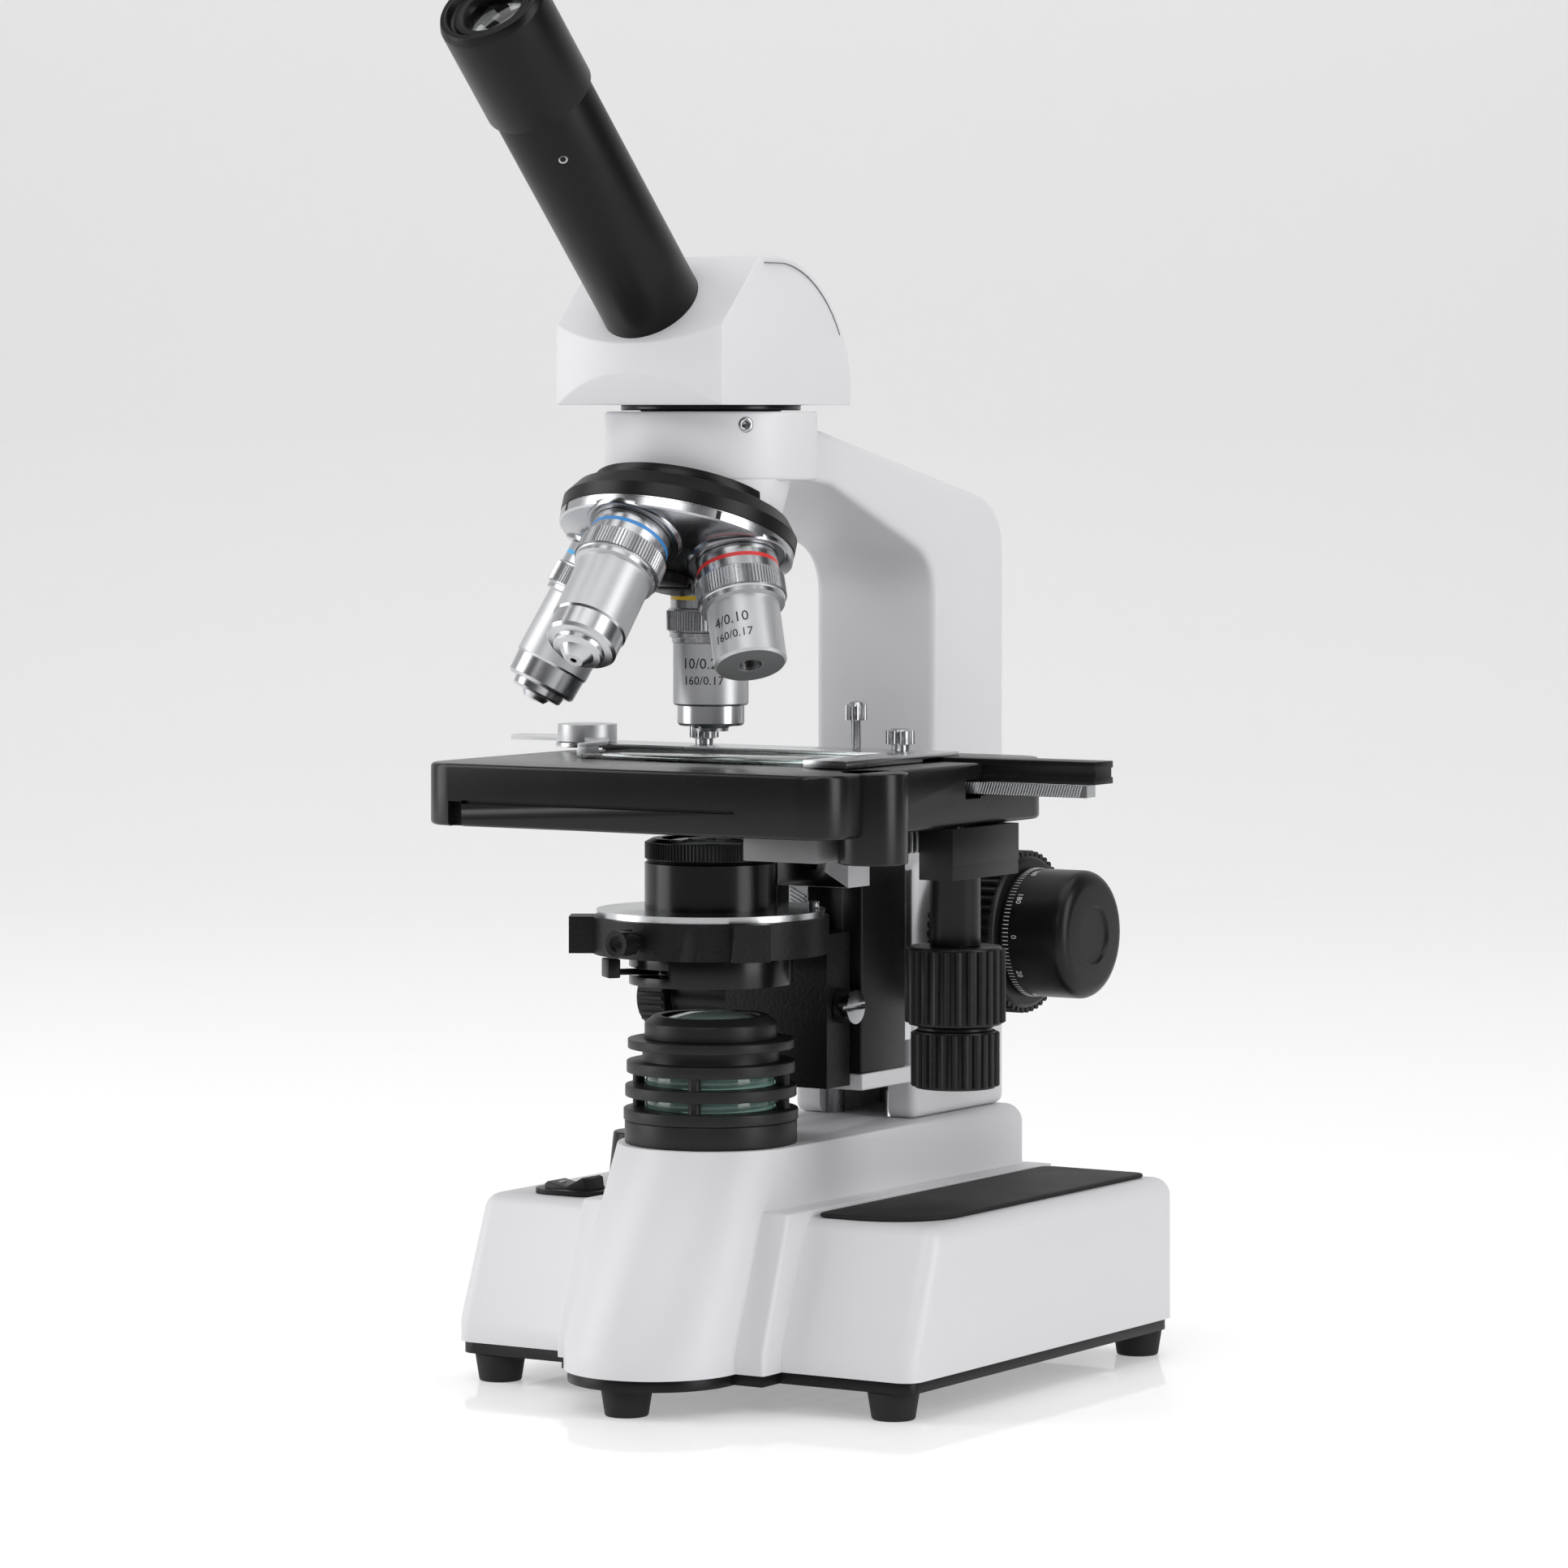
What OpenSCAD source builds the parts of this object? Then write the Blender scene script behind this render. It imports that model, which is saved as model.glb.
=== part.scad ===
// Upright monocular compound microscope with a mechanical stage and a lamp in its base.
// Millimetres, +Z up, +X to the user's right, -Y towards the user.
// The origin is on the table, under the middle of the outline.

/* [Base] */
// Half width of the base over its two wings
base_half_w = 71; // [62:0.2:86]
// Y of the back of the base
base_back = 125; // [118:1:140]
// Height of the top of the wings
wing_top = 48.8; // [44:0.5:56]
// Height of the top of the middle body
deck_top = 66.3; // [62:0.5:72]
// Wall of the base casting
base_wall = 4; // [3:0.5:5]
// Height of a rubber foot
foot_h = 7.5; // [5:0.5:12]
// Radius of a rubber foot at its top
foot_r = 6.8; // [5:0.2:9]
// Thickness of the bottom plate
plate_t = 3; // [2:0.5:4]

/* [Lamp] */
// Radius of the lamp collar
collar_r = 22.6; // [20:0.2:24]
// Radius of the light port bored through the lamp parts
port_r = 13.5; // [11:0.5:15]
// Radius of the filter glasses
filter_r = 17; // [16:0.2:17.6]

/* [Arm] */
// Half width of the lower column
column_half_w = 19.4; // [18:0.2:22]
// Half width of the channel in the column
channel_half_w = 10.9; // [10:0.1:12]
// Y of the back of the column
column_back = 121; // [116:1:124]
// Radius of the ring at the head of the arm
ring_r = 27.9; // [26:0.1:30]
// Height of the top face of the ring
ring_top = 257.7; // [250:0.1:270]

/* [Focus drive] */
// Height of the focus knob axis
focus_z = 116.5; // [112:0.5:120]
// Y of the focus knob axis
focus_y = 94.5; // [94:0.5:96]
// Radius of the coarse knobs
coarse_r = 22.1; // [18:0.1:26]
// Length of a coarse knob
coarse_l = 20.4; // [16:0.2:24]
// Radius of the fine knobs
fine_r = 17.4; // [14:0.1:20]
// Length of a fine knob
fine_l = 19.6; // [12:0.2:24]
// Outer radius of the coarse shaft
coarse_shaft_r = 5; // [4.5:0.1:5.4]
// Radius of the fine shaft
fine_shaft_r = 3; // [2.5:0.1:3.5]
// Radial clearance of shafts and spindles
run_gap = 0.05; // [0.03:0.01:0.08]

/* [Stage] */
// X of the left edge of the stage
stage_left = -58; // [-66:1:-54]
// X of the right edge of the stage
stage_right = 68; // [68:1:74]
// Y of the front edge of the stage
stage_front = -52; // [-58:1:-46]
// Y of the back edge of the stage
stage_back = 62; // [58:1:64]
// Height of the top of the stage
stage_top = 166.5; // [166:0.1:167]
// Thickness of the stage plate over its rim
stage_t = 16.3; // [15:0.1:17]
// Radius of the hole in the stage
stage_hole_r = 17; // [12:0.5:18]
// Length of the specimen slide
slide_l = 75; // [74:0.5:76]
// Width of the specimen slide
slide_w = 25; // [24:0.5:26]

/* [Stage drive] */
// X of the stage drive spindle
drive_x = 62.5; // [62:0.1:63]
// Y of the stage drive spindle
drive_y = 20; // [19:0.1:20.4]
// Radius of the upper drive knob
knob_y_r = 13.1; // [11:0.1:15]
// Radius of the lower drive knob
knob_x_r = 11.5; // [9:0.1:13]
// Outer radius of the drive sleeve
sleeve_r = 3.4; // [3.2:0.1:3.8]
// Radius of the drive spindle
spindle_r = 2; // [1.6:0.1:2.4]

/* [Condenser] */
// Radius of the condenser barrel
cond_r = 17.5; // [16:0.1:17.8]
// Radius of the silver flange
cond_flange_r = 30.1; // [28:0.1:30.4]
// Outer radius of the holder ring
cond_ring_r = 31; // [30.6:0.1:31.6]
// Radius of the iris housing
iris_r = 21.5; // [19:0.5:22]

/* [Head] */
// Half width of the head
head_half_w = 26.5; // [24:0.5:30]
// Height of the top of the head
head_top = 298; // [294:0.5:304]
// Inner radius of the eyepiece tube
tube_in_r = 11.65; // [11.65:0.05:12]
// Outer radius of the eyepiece tube
tube_r = 13.15; // [13:0.05:14.5]
// Length of the eyepiece tube outside the head
tube_l = 72; // [60:1:90]
// Radius of the upper part of the eyepiece
eye_r = 14.25; // [13.5:0.05:16]
// Length of the upper part of the eyepiece
eye_l = 31.5; // [24:0.5:40]

/* [Nosepiece] */
// Lean of the nosepiece axis in degrees
lean = 20.5; // [18:0.5:22]
// Radius of the nosepiece
nose_r = 31; // [29.5:0.5:32]
// Radius of an objective's knurled ring
knurl_r = 11.8; // [11:0.1:12]
// Distance from the nosepiece apex to an objective's shoulder
shoulder = 56.8; // [56:0.1:58]

/* [Hidden] */
gap = 0.3;
plate_top = foot_h + plate_t;
apex_z = 268.8;
under = stage_top - stage_t;
low_top = under - gap;
low_t = 6.4;
low_bot = low_top - low_t;
foot_pts = [[-base_half_w + 10, -8.6], [base_half_w - 10, -8.6], [-base_half_w + 10, base_back - 4], [base_half_w - 10, base_back - 4], [0, -40]];
boss_pts = [[-base_half_w + 11, 6], [base_half_w - 11, 6], [-base_half_w + 11, base_back - 18], [base_half_w - 11, base_back - 18]];
// module of the focus rack, stage racks and condenser rack, and their pinion radii
m_focus = 1.2;
m_stage = 0.8;
m_cond = 2 / 3;
teeth = 12;
r_focus = m_focus * teeth / 2;
r_stage = m_stage * teeth / 2;
r_cond = m_cond * teeth / 2;
cond_y = 39;
cond_z = 99.5;
knob_y_top = 119;
knob_y_bot = 98.7;
knob_x_top = 97.3;
knob_x_bot = 82.3;
tube_y = -28.8;
tube_z = 285.9;
black = [0.06, 0.06, 0.065];
white = [0.86, 0.86, 0.87];
steel = [0.72, 0.73, 0.74];
glass = [0.75, 0.85, 0.85];
eps = 0.02;
// the origin of the optical axis from the middle of the outline
// bolts that hold the arm on the deck
bolt_x = 10;
bolt_y = [78, 107];
bar_x = stage_right - 2;
bar_r = 9;
mid_x = 12;
mid_y = 6.3;

// Which sub-part to draw

module on_table() {
  translate([-mid_x, -mid_y, 0]) children();
}

function inv_deg(a) = tan(a) * 180 / PI - a;

// one flank of an involute tooth as points [radius, half angle]
function flank(m, z, bl) = let (
    r = m * z / 2,
    rb = r * cos(20),
    half = 90 / z - bl / (2 * r) * 180 / PI + inv_deg(20)
  )
  concat(
    [[r - 1.0 * m, half + 0.6]],
    [for (i = [0:5]) let (q = rb + (r + m - rb) * i / 5) [q, half - inv_deg(acos(rb / q))]]
  );

// pinion on the Z axis from z = 0, with a tooth centred on +X
module pinion(m, z, w, bore) {
  f = flank(m, z, 0.1);
  n = len(f);
  difference() {
    linear_extrude(height = w) {
      polygon([
        for (k = [0:z - 1])
          for (j = [0:2 * n - 1])
            let (p = j < n ? f[j] : f[2 * n - 1 - j], s = j < n ? -1 : 1, a = 360 / z * k + s * p[1])
              [p[0] * cos(a), p[0] * sin(a)]
      ]);
    }
    translate([0, 0, -1]) cylinder(r = bore, h = w + 2, $fn = 48);
  }
}

// rack outline: pitch line on y = 0, teeth towards +y, a space centred on x = 0
function rack_pts(m, n0, n1, back) = let (
    p = PI * m,
    hw = p / 4 - 0.05,
    ad = 0.7 * m,
    de = 1.2 * m,
    t = tan(20)
  )
  concat(
    [[(n0 - 0.5) * p, -back], [(n0 - 0.5) * p, -de]],
    [
      for (k = [n0:n1 - 1])
        for (q = [[-hw - de * t, -de], [-hw + ad * t, ad], [hw - ad * t, ad], [hw + de * t, -de]])
          [(k + 0.5) * p + q[0], q[1]]
    ],
    [[(n1 + 0.5) * p, -de], [(n1 + 0.5) * p, -back]]
  );

module rack(m, n0, n1, back, w) {
  linear_extrude(height = w) polygon(rack_pts(m, n0, n1, back));
}

module ring(r1, r0, z0, z1) {
  translate([0, 0, z0]) rotate_extrude($fn = 96) translate([r0, 0]) square([r1 - r0, z1 - z0]);
}

module ribbed(r, h, n, d) {
  linear_extrude(height = h) {
    polygon([
      for (k = [0:n - 1])
        for (q = [[r, -0.25], [r, 0.25], [r - d * 0.65, 0.36], [r - d * 0.65, 0.64]])
          [q[0] * cos(360 / n * (k + q[1])), q[0] * sin(360 / n * (k + q[1]))]
    ]);
  }
}

// ---------------------------------------------------------------- base

module wing_form(i) {
  r = 5 - min(i, 3);
  w = base_half_w - i;
  hull() {
    for (s = [-1, 1]) {
      translate([s * (w - r), -16 + i + r, plate_top]) cylinder(r = r, h = 6, $fn = 32);
      translate([s * (w - r), base_back - i - r, plate_top]) cylinder(r = r, h = 6, $fn = 32);
      translate([s * (w - r), -5 + i + r, wing_top - i - r]) sphere(r = r, $fn = 32);
      translate([s * (w - r), base_back - i - r, wing_top - i - r]) sphere(r = r, $fn = 32);
    }
  }
}

module step_form(i) {
  hull() {
    for (s = [-1, 1]) {
      translate([s * (31 - i), -24 + i, plate_top]) cylinder(r = 1, h = 6, $fn = 16);
      translate([s * (31 - i), -12 + i, wing_top + 2 - i - 1]) sphere(r = 1, $fn = 16);
      translate([s * (31 - i), base_back - 1 - i, plate_top]) cylinder(r = 1, h = wing_top + 1 - i - plate_top, $fn = 16);
    }
  }
}

module deck_form(i) {
  hull() {
    translate([0, -27, plate_top]) cylinder(r = 23.5 - i, h = 6.5, $fn = 64);
    translate([0, 0, deck_top - i - 2]) cylinder(r = 24.5 - i, h = 2, $fn = 64);
    for (s = [-1, 1]) {
      translate([s * (19.5 - i), base_back - i - 5, plate_top]) cylinder(r = 5, h = deck_top - i - 5 - plate_top, $fn = 24);
      translate([s * (19.5 - i), base_back - i - 5, deck_top - i - 5]) sphere(r = 5, $fn = 24);
      translate([s * (24.5 - i - 1), 60, deck_top - i - 1]) sphere(r = 1, $fn = 16);
      translate([s * (24.5 - i - 1), 60, plate_top]) cylinder(r = 1, h = 6, $fn = 16);
    }
  }
}

module base_housing() {
  color(white) on_table() {
    difference() {
      union() {
        difference() {
          union() {
            wing_form(0);
            step_form(0);
            deck_form(0);
          }
          translate([0, 0, -eps]) {
            wing_form(base_wall);
            step_form(base_wall);
            deck_form(base_wall);
          }
        }
        for (p = boss_pts) {
          translate([p[0], p[1], plate_top]) cylinder(r = 4.5, h = wing_top - base_wall / 2 - plate_top, $fn = 32);
        }
      }
      // light port under the lamp collar
      translate([0, 0, deck_top - base_wall - 2]) cylinder(r = 19, h = base_wall + 4, $fn = 64);
      // switch opening and dimmer bore in the left wing
      translate([-48 - 8.5, 8 - 6, wing_top - 11]) cube([17, 12, 15]);
      translate([-46, 38, wing_top - 6]) cylinder(r = 4.2, h = 10, $fn = 32);
      // inlet bore at the back
      translate([46, base_back - 6, 30]) rotate([-90, 0, 0]) cylinder(r = 5.5, h = 10, $fn = 32);
      // screw holes
      for (p = boss_pts) {
        translate([p[0], p[1], plate_top - 1]) cylinder(r = 1.5, h = 14, $fn = 24);
      }
      for (x = [-bolt_x, bolt_x], y = bolt_y) {
        translate([x, y, deck_top - base_wall - 2]) cylinder(r = 3.1, h = base_wall + 4, $fn = 24);
      }
    }
  }
}

module base_plate() {
  color(black) on_table() {
    difference() {
      union() {
        hull() {
          for (s = [-1, 1]) {
            translate([s * (base_half_w - 6), -10.6, foot_h]) cylinder(r = 5, h = plate_t, $fn = 32);
            translate([s * (base_half_w - 6), base_back - 6, foot_h]) cylinder(r = 5, h = plate_t, $fn = 32);
          }
        }
        translate([0, -27, foot_h]) cylinder(r = 22.5, h = plate_t, $fn = 64);
        translate([-22.5, -27, foot_h]) cube([45, 20, plate_t]);
        translate([-31, -24, foot_h]) cube([62, 20, plate_t]);
      }
      for (p = boss_pts) {
        translate([p[0], p[1], foot_h - 1]) cylinder(r = 1.7, h = plate_t + 2, $fn = 24);
      }
      for (p = foot_pts) {
        translate([p[0], p[1], foot_h - 1]) cylinder(r = 2, h = plate_t + 2, $fn = 24);
      }
      for (x = [-20:8:20]) {
        translate([x - 1.5, 30, foot_h - 1]) cube([3, 34, plate_t + 2]);
      }
    }
  }
}

module rubber_feet() {
  color([0.04, 0.04, 0.04]) on_table() {
    for (p = foot_pts) {
      translate([p[0], p[1], 0]) cylinder(r1 = foot_r - 1.2, r2 = foot_r, h = foot_h, $fn = 48);
      translate([p[0], p[1], foot_h - eps]) cylinder(r = 2, h = plate_t, $fn = 24);
    }
  }
}

module base_screws() {
  color(steel) on_table() {
    for (p = boss_pts) {
      translate([p[0], p[1], foot_h - 2]) cylinder(r = 3, h = 2, $fn = 24);
      translate([p[0], p[1], foot_h - eps]) cylinder(r = 1.5, h = 14, $fn = 24);
    }
  }
}

module arm_rest_pad() {
  color([0.05, 0.05, 0.05]) on_table() {
    translate([0, 0, wing_top]) linear_extrude(height = 1.2) {
      offset(r = 3) offset(delta = -3) {
        polygon(concat(
          [[33, base_back - 6], [33, -1]],
          [for (a = [-90:10:0]) [46 + 19 * cos(a), 18 + 19 * sin(a)]],
          [[65, base_back - 6]]
        ));
      }
    }
  }
}

module switch_bezel() {
  color(black) on_table() {
    difference() {
      union() {
        translate([-48, 8, wing_top]) linear_extrude(height = 1.4) offset(r = 6) square([9.5, 3], center = true);
        translate([-48 - 8.5, 8 - 6, wing_top - 10]) cube([17, 12, 10]);
      }
      translate([-48 - 7.4, 8 - 4.6, wing_top - 8]) cube([14.8, 9.2, 12]);
      translate([-48, 8, wing_top - 1.5]) rotate([90, 0, 0]) cylinder(r = 1.25, h = 11.4, center = true, $fn = 24);
    }
  }
}

module rocker_switch() {
  color([0.03, 0.03, 0.03]) on_table() {
    translate([-48, 8, wing_top - 1.5]) rotate([0, -8, 0]) {
      rotate([90, 0, 0]) {
        translate([0, 0, -4.2]) linear_extrude(height = 8.4) {
          polygon([[-6.6, -1.2], [6.6, -1.2], [6.6, 4.9], [5.6, 5.5], [0, 3.4], [-5.6, 5.5], [-6.6, 4.9]]);
        }
        cylinder(r = 1.2, h = 11, center = true, $fn = 24);
      }
    }
  }
}

module dimmer_pot() {
  color([0.2, 0.25, 0.3]) on_table() {
    difference() {
      union() {
        translate([-46, 38, wing_top - base_wall - 9.1]) cylinder(r = 8, h = 9, $fn = 48);
        translate([-46, 38, wing_top - base_wall - 0.2]) cylinder(r = 4.1, h = base_wall, $fn = 48);
      }
      translate([-46, 38, wing_top - base_wall - 6]) cylinder(r = 3 + run_gap, h = 14, $fn = 48);
    }
  }
}

module dimmer_knob() {
  color(black) on_table() {
    translate([-46, 38, wing_top + gap]) {
      difference() {
        cylinder(r1 = 10, r2 = 8.5, h = 13.6, $fn = 64);
        for (k = [0:23]) {
          rotate([0, 0, 15 * k]) translate([10.3, 0, 1.5]) rotate([0, -6.3, 0]) cylinder(r = 0.6, h = 14, $fn = 8);
        }
      }
      translate([0, 0, -9]) cylinder(r = 3, h = 9 + eps, $fn = 48);
    }
  }
}

module power_inlet() {
  color(black) on_table() {
    translate([46, base_back - 10, 30]) rotate([-90, 0, 0]) {
      difference() {
        union() {
          cylinder(r = 5.5, h = 10, $fn = 32);
          translate([0, 0, 10 - eps]) cylinder(r = 7, h = 1.2, $fn = 32);
        }
        translate([0, 0, 2]) cylinder(r = 3.2, h = 12, $fn = 32);
      }
      cylinder(r = 1, h = 9, $fn = 24);
    }
  }
}

// ---------------------------------------------------------------- lamp

module lamp_collar() {
  color(black) on_table() {
    ring(collar_r, port_r + 1, deck_top, deck_top + 6.2);
    ring(19, port_r + 1, deck_top - 6, deck_top + eps);
  }
}

module lens_cage() {
  z = deck_top + 6.2;
  color(black) on_table() {
    difference() {
      union() {
        ring(collar_r + 0.3, port_r, z, z + 2.9);
        ring(collar_r - 0.1, port_r, z + 6.1, z + 9);
        ring(collar_r - 0.5, port_r, z + 12.3, z + 15.3);
        ring(18, port_r, z + 15.3 - eps, z + 18.7);
        ring(collar_r - 0.8, port_r, z + 18.6, z + 21);
      }
    }
    for (a = [0:90:270]) {
      rotate([0, 0, a + 20]) translate([19.4, 0, z + 2.8]) cylinder(r = 1.6, h = 9.6, $fn = 32);
    }
  }
}

module filter_glasses() {
  z = deck_top + 6.2;
  color([0.35, 0.55, 0.5]) on_table() {
    translate([0, 0, z + 2.9]) cylinder(r = filter_r, h = 3.2, $fn = 64);
    translate([0, 0, z + 9]) cylinder(r = filter_r, h = 3.3, $fn = 64);
  }
}

module lens_retainer() {
  z = deck_top + 27.2;
  color(black) on_table() {
    translate([0, 0, z]) rotate_extrude($fn = 96) {
      polygon([[port_r, 0], [17.4, 0], [17.4, 4.2], [15, 6.1], [port_r - 0.8, 6.1], [port_r - 0.8, 5], [port_r, 5]]);
    }
  }
}

module field_lens() {
  z = deck_top + 27.2;
  color(glass) on_table() {
    translate([0, 0, z]) rotate_extrude($fn = 64) {
      polygon(concat(
        [[0, 0], [port_r, 0], [port_r, 5], [port_r - 0.9, 5]],
        [for (i = [0:8]) let (r = (port_r - 0.9) * (1 - i / 8)) [r, 5 + 2.4 * (1 - pow(r / (port_r - 0.9), 2))]]
      ));
    }
  }
}

module led_board() {
  color([0.1, 0.35, 0.15]) on_table() {
    translate([0, 0, plate_top + 18]) cylinder(r = 14, h = 1.6, $fn = 48);
    for (a = [0:120:240]) {
      rotate([0, 0, a]) translate([11, 0, plate_top]) cylinder(r = 2, h = 18 + eps, $fn = 24);
    }
  }
}

module led_emitter() {
  color([0.95, 0.9, 0.6]) on_table() {
    translate([0, 0, plate_top + 19.6]) cylinder(r = 3, h = 1.5, $fn = 32);
    translate([0, 0, plate_top + 21.1 - eps]) cylinder(r1 = 2.6, r2 = 1.4, h = 1.4, $fn = 32);
  }
}

module driver_board() {
  color([0.1, 0.3, 0.15]) on_table() {
    difference() {
      translate([28, 30, plate_top + 5]) cube([30, 46, 1.6]);
      for (x = [32, 54], y = [34, 72]) {
        translate([x, y, plate_top + 4]) cylinder(r = 1.6, h = 4, $fn = 24);
      }
    }
    for (x = [32, 54], y = [34, 72]) {
      translate([x, y, plate_top]) cylinder(r = 1.6, h = 7.2, $fn = 24);
    }
    translate([36, 44, plate_top + 6.6 - eps]) cube([12, 14, 8]);
    translate([44, 64, plate_top + 6.6 - eps]) cylinder(r = 3.5, h = 9, $fn = 32);
  }
}

// ---------------------------------------------------------------- arm

arm_side = [
  [83, 138], [72, 138], [72, deck_top], [column_back, deck_top], [column_back, 222],
  [119, 229], [114, 233], [107, 235.6], [98, 237.6], [22, 253.5], [10, 253.5], [10, 236],
  [30, 238], [72, 217.6], [78, 214], [81.5, 209.5], [83, 204]
];

module nose_frame() {
  translate([0, 0, apex_z]) rotate([-lean, 0, 0]) children();
}

module arm() {
  color(white) on_table() {
    difference() {
      union() {
        difference() {
          translate([-column_half_w, 0, 0]) rotate([90, 0, 90]) linear_extrude(height = 2 * column_half_w) polygon(arm_side);
          // soft back corners of the column
          for (s = [-1, 1]) {
            translate([s * column_half_w, column_back, deck_top - 1]) rotate([0, 0, 45]) translate([-2.6, -2.6, 0]) cube([5.2, 5.2, 150]);
          }
        }
        difference() {
          translate([0, 0, 212]) cylinder(r = ring_r, h = ring_top - 212, $fn = 128);
          nose_frame() translate([-60, -60, -137.7]) cube([120, 120, 100]);
          translate([-40, 22, 200]) cube([80, 40, 34]);
        }
      }
      // channel for the rack and pinion
      translate([-channel_half_w, 71, deck_top - 1]) cube([2 * channel_half_w, 34, 134 - deck_top + 1]);
      // bores for the focus shaft bushes
      translate([-30, focus_y, focus_z]) rotate([0, 90, 0]) cylinder(r = coarse_shaft_r + 2, h = 60, $fn = 64);
      // dovetail seat and light path
      translate([0, 0, ring_top - 8]) cylinder(r = 19, h = 9, $fn = 96);
      translate([0, 0, 205]) cylinder(r = 11, h = 60, $fn = 64);
      // seat of the nosepiece mount
      nose_frame() translate([0, 0, -38]) cylinder(r = 24, h = 3.3, $fn = 96);
      nose_frame() translate([0, 0, -40]) cylinder(r = 4, h = 14, $fn = 48);
      // set screw hole
      rotate([0, 0, -38.5]) translate([14, 0, ring_top - 3.4]) rotate([0, 90, 0]) cylinder(r = 2, h = 20, $fn = 32);
      // bolts from below
      for (x = [-bolt_x, bolt_x], y = bolt_y) {
        translate([x, y, deck_top - 1]) cylinder(r = 3, h = 9, $fn = 24);
      }
    }
  }
}

module arm_bolts() {
  color(steel) on_table() {
    for (x = [-bolt_x, bolt_x], y = bolt_y) {
      translate([x, y, deck_top - base_wall - 4]) {
        difference() {
          union() {
            cylinder(r = 4.4, h = 3.9, $fn = 32);
            cylinder(r = 3, h = 4 + base_wall + 7, $fn = 24);
          }
          translate([0, 0, -1]) cylinder(r = 2.5, h = 3, $fn = 6);
        }
      }
    }
    // set screw that locks the head
    rotate([0, 0, -38.5]) translate([18.6, 0, ring_top - 3.4]) rotate([0, 90, 0]) {
      difference() {
        cylinder(r = 2, h = ring_r - 18.8, $fn = 32);
        translate([0, 0, ring_r - 21]) cylinder(r = 1.1, h = 4, $fn = 6);
      }
    }
  }
}

module focus_guide() {
  color(steel) on_table() {
    for (s = [0, 1]) {
      mirror([s, 0, 0]) translate([0, 0, 88]) linear_extrude(height = 46) {
        polygon([[8.21, 67.3], [10.37, 71.62], [10.37, 72], [18.6, 72], [18.6, 67.3]]);
      }
    }
  }
}

module focus_bushes() {
  color([0.75, 0.6, 0.3]) on_table() {
    for (s = [0, 1]) {
      mirror([s, 0, 0]) translate([channel_half_w, focus_y, focus_z]) rotate([0, 90, 0]) {
        ring(coarse_shaft_r + 2, coarse_shaft_r + run_gap, 0, column_half_w - channel_half_w + 1.6);
      }
    }
  }
}

module coarse_knobs() {
  color(black) on_table() {
    for (s = [0, 1]) {
      mirror([s, 0, 0]) translate([22, focus_y, focus_z]) rotate([0, 90, 0]) {
        difference() {
          ribbed(coarse_r, coarse_l, 56, 0.8);
          translate([0, 0, -1]) cylinder(r = coarse_shaft_r, h = coarse_l + 2, $fn = 64);
        }
      }
    }
  }
}

module coarse_shaft() {
  color(steel) on_table() {
    translate([-22 - coarse_l + 1, focus_y, focus_z]) rotate([0, 90, 0]) {
      ring(coarse_shaft_r, fine_shaft_r + run_gap, 0, 42 + 2 * coarse_l);
    }
  }
}

module focus_pinion() {
  color([0.7, 0.58, 0.3]) on_table() {
    translate([-6, focus_y, focus_z]) rotate([0, 90, 0]) rotate([0, 0, -90]) pinion(m_focus, teeth, 12, coarse_shaft_r);
  }
}

module fine_knobs() {
  x0 = 22 + coarse_l + gap;
  color(black) on_table() {
    for (s = [0, 1]) {
      mirror([s, 0, 0]) translate([x0, focus_y, focus_z]) rotate([0, 90, 0]) {
        difference() {
          rotate_extrude($fn = 96) {
            polygon(concat(
              [[0, 0], [fine_r, 0]],
              [for (a = [0:15:90]) [fine_r - 4 + 4 * cos(a), fine_l - 4 + 4 * sin(a)]],
              [[0, fine_l]]
            ));
          }
          translate([0, 0, -1]) cylinder(r = fine_shaft_r, h = fine_l - 3, $fn = 48);
        }
      }
    }
  }
}

module fine_shaft() {
  l = 22 + coarse_l + gap + fine_l - 4;
  color(steel) on_table() {
    translate([-l, focus_y, focus_z]) rotate([0, 90, 0]) cylinder(r = fine_shaft_r, h = 2 * l, $fn = 48);
  }
}

// ---------------------------------------------------------------- carriage

module focus_carriage() {
  color(black) on_table() {
    translate([0, 0, 81]) linear_extrude(height = low_bot - 81) {
      difference() {
        union() {
          translate([-19.5, 44]) square([39, 23]);
          polygon([[-8, 66.9], [8, 66.9], [8, 67], [10.25, 71.5], [-10.25, 71.5], [-8, 67]]);
        }
        translate([-13, 43]) square([26, 5]);
      }
    }
  }
}

module focus_rack() {
  n = 3;
  color(steel) on_table() {
    translate([-4, focus_y - r_focus, focus_z]) rotate([90, 0, 90]) mirror([0, 0, 0]) {
      linear_extrude(height = 8) {
        polygon([for (p = rack_pts(m_focus, -n, n, focus_y - r_focus - 71.5)) [p[1], p[0]]]);
      }
    }
  }
}

module carriage_foot() {
  color(white) on_table() {
    translate([-19.5, 44.5, 76.6]) cube([39, 27.2, 4.4]);
  }
}

module stage_base_plate() {
  color([0.3, 0.3, 0.31]) on_table() {
    translate([0, 0, low_bot]) linear_extrude(height = low_t) {
      polygon([
        [-30, 60], [-30, 34], [34, 34], [34, -38], [bar_x - bar_r - 1, -38], [bar_x - bar_r - 1, -8], [51, -8], [51, 60]
      ]);
    }
  }
}

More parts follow.
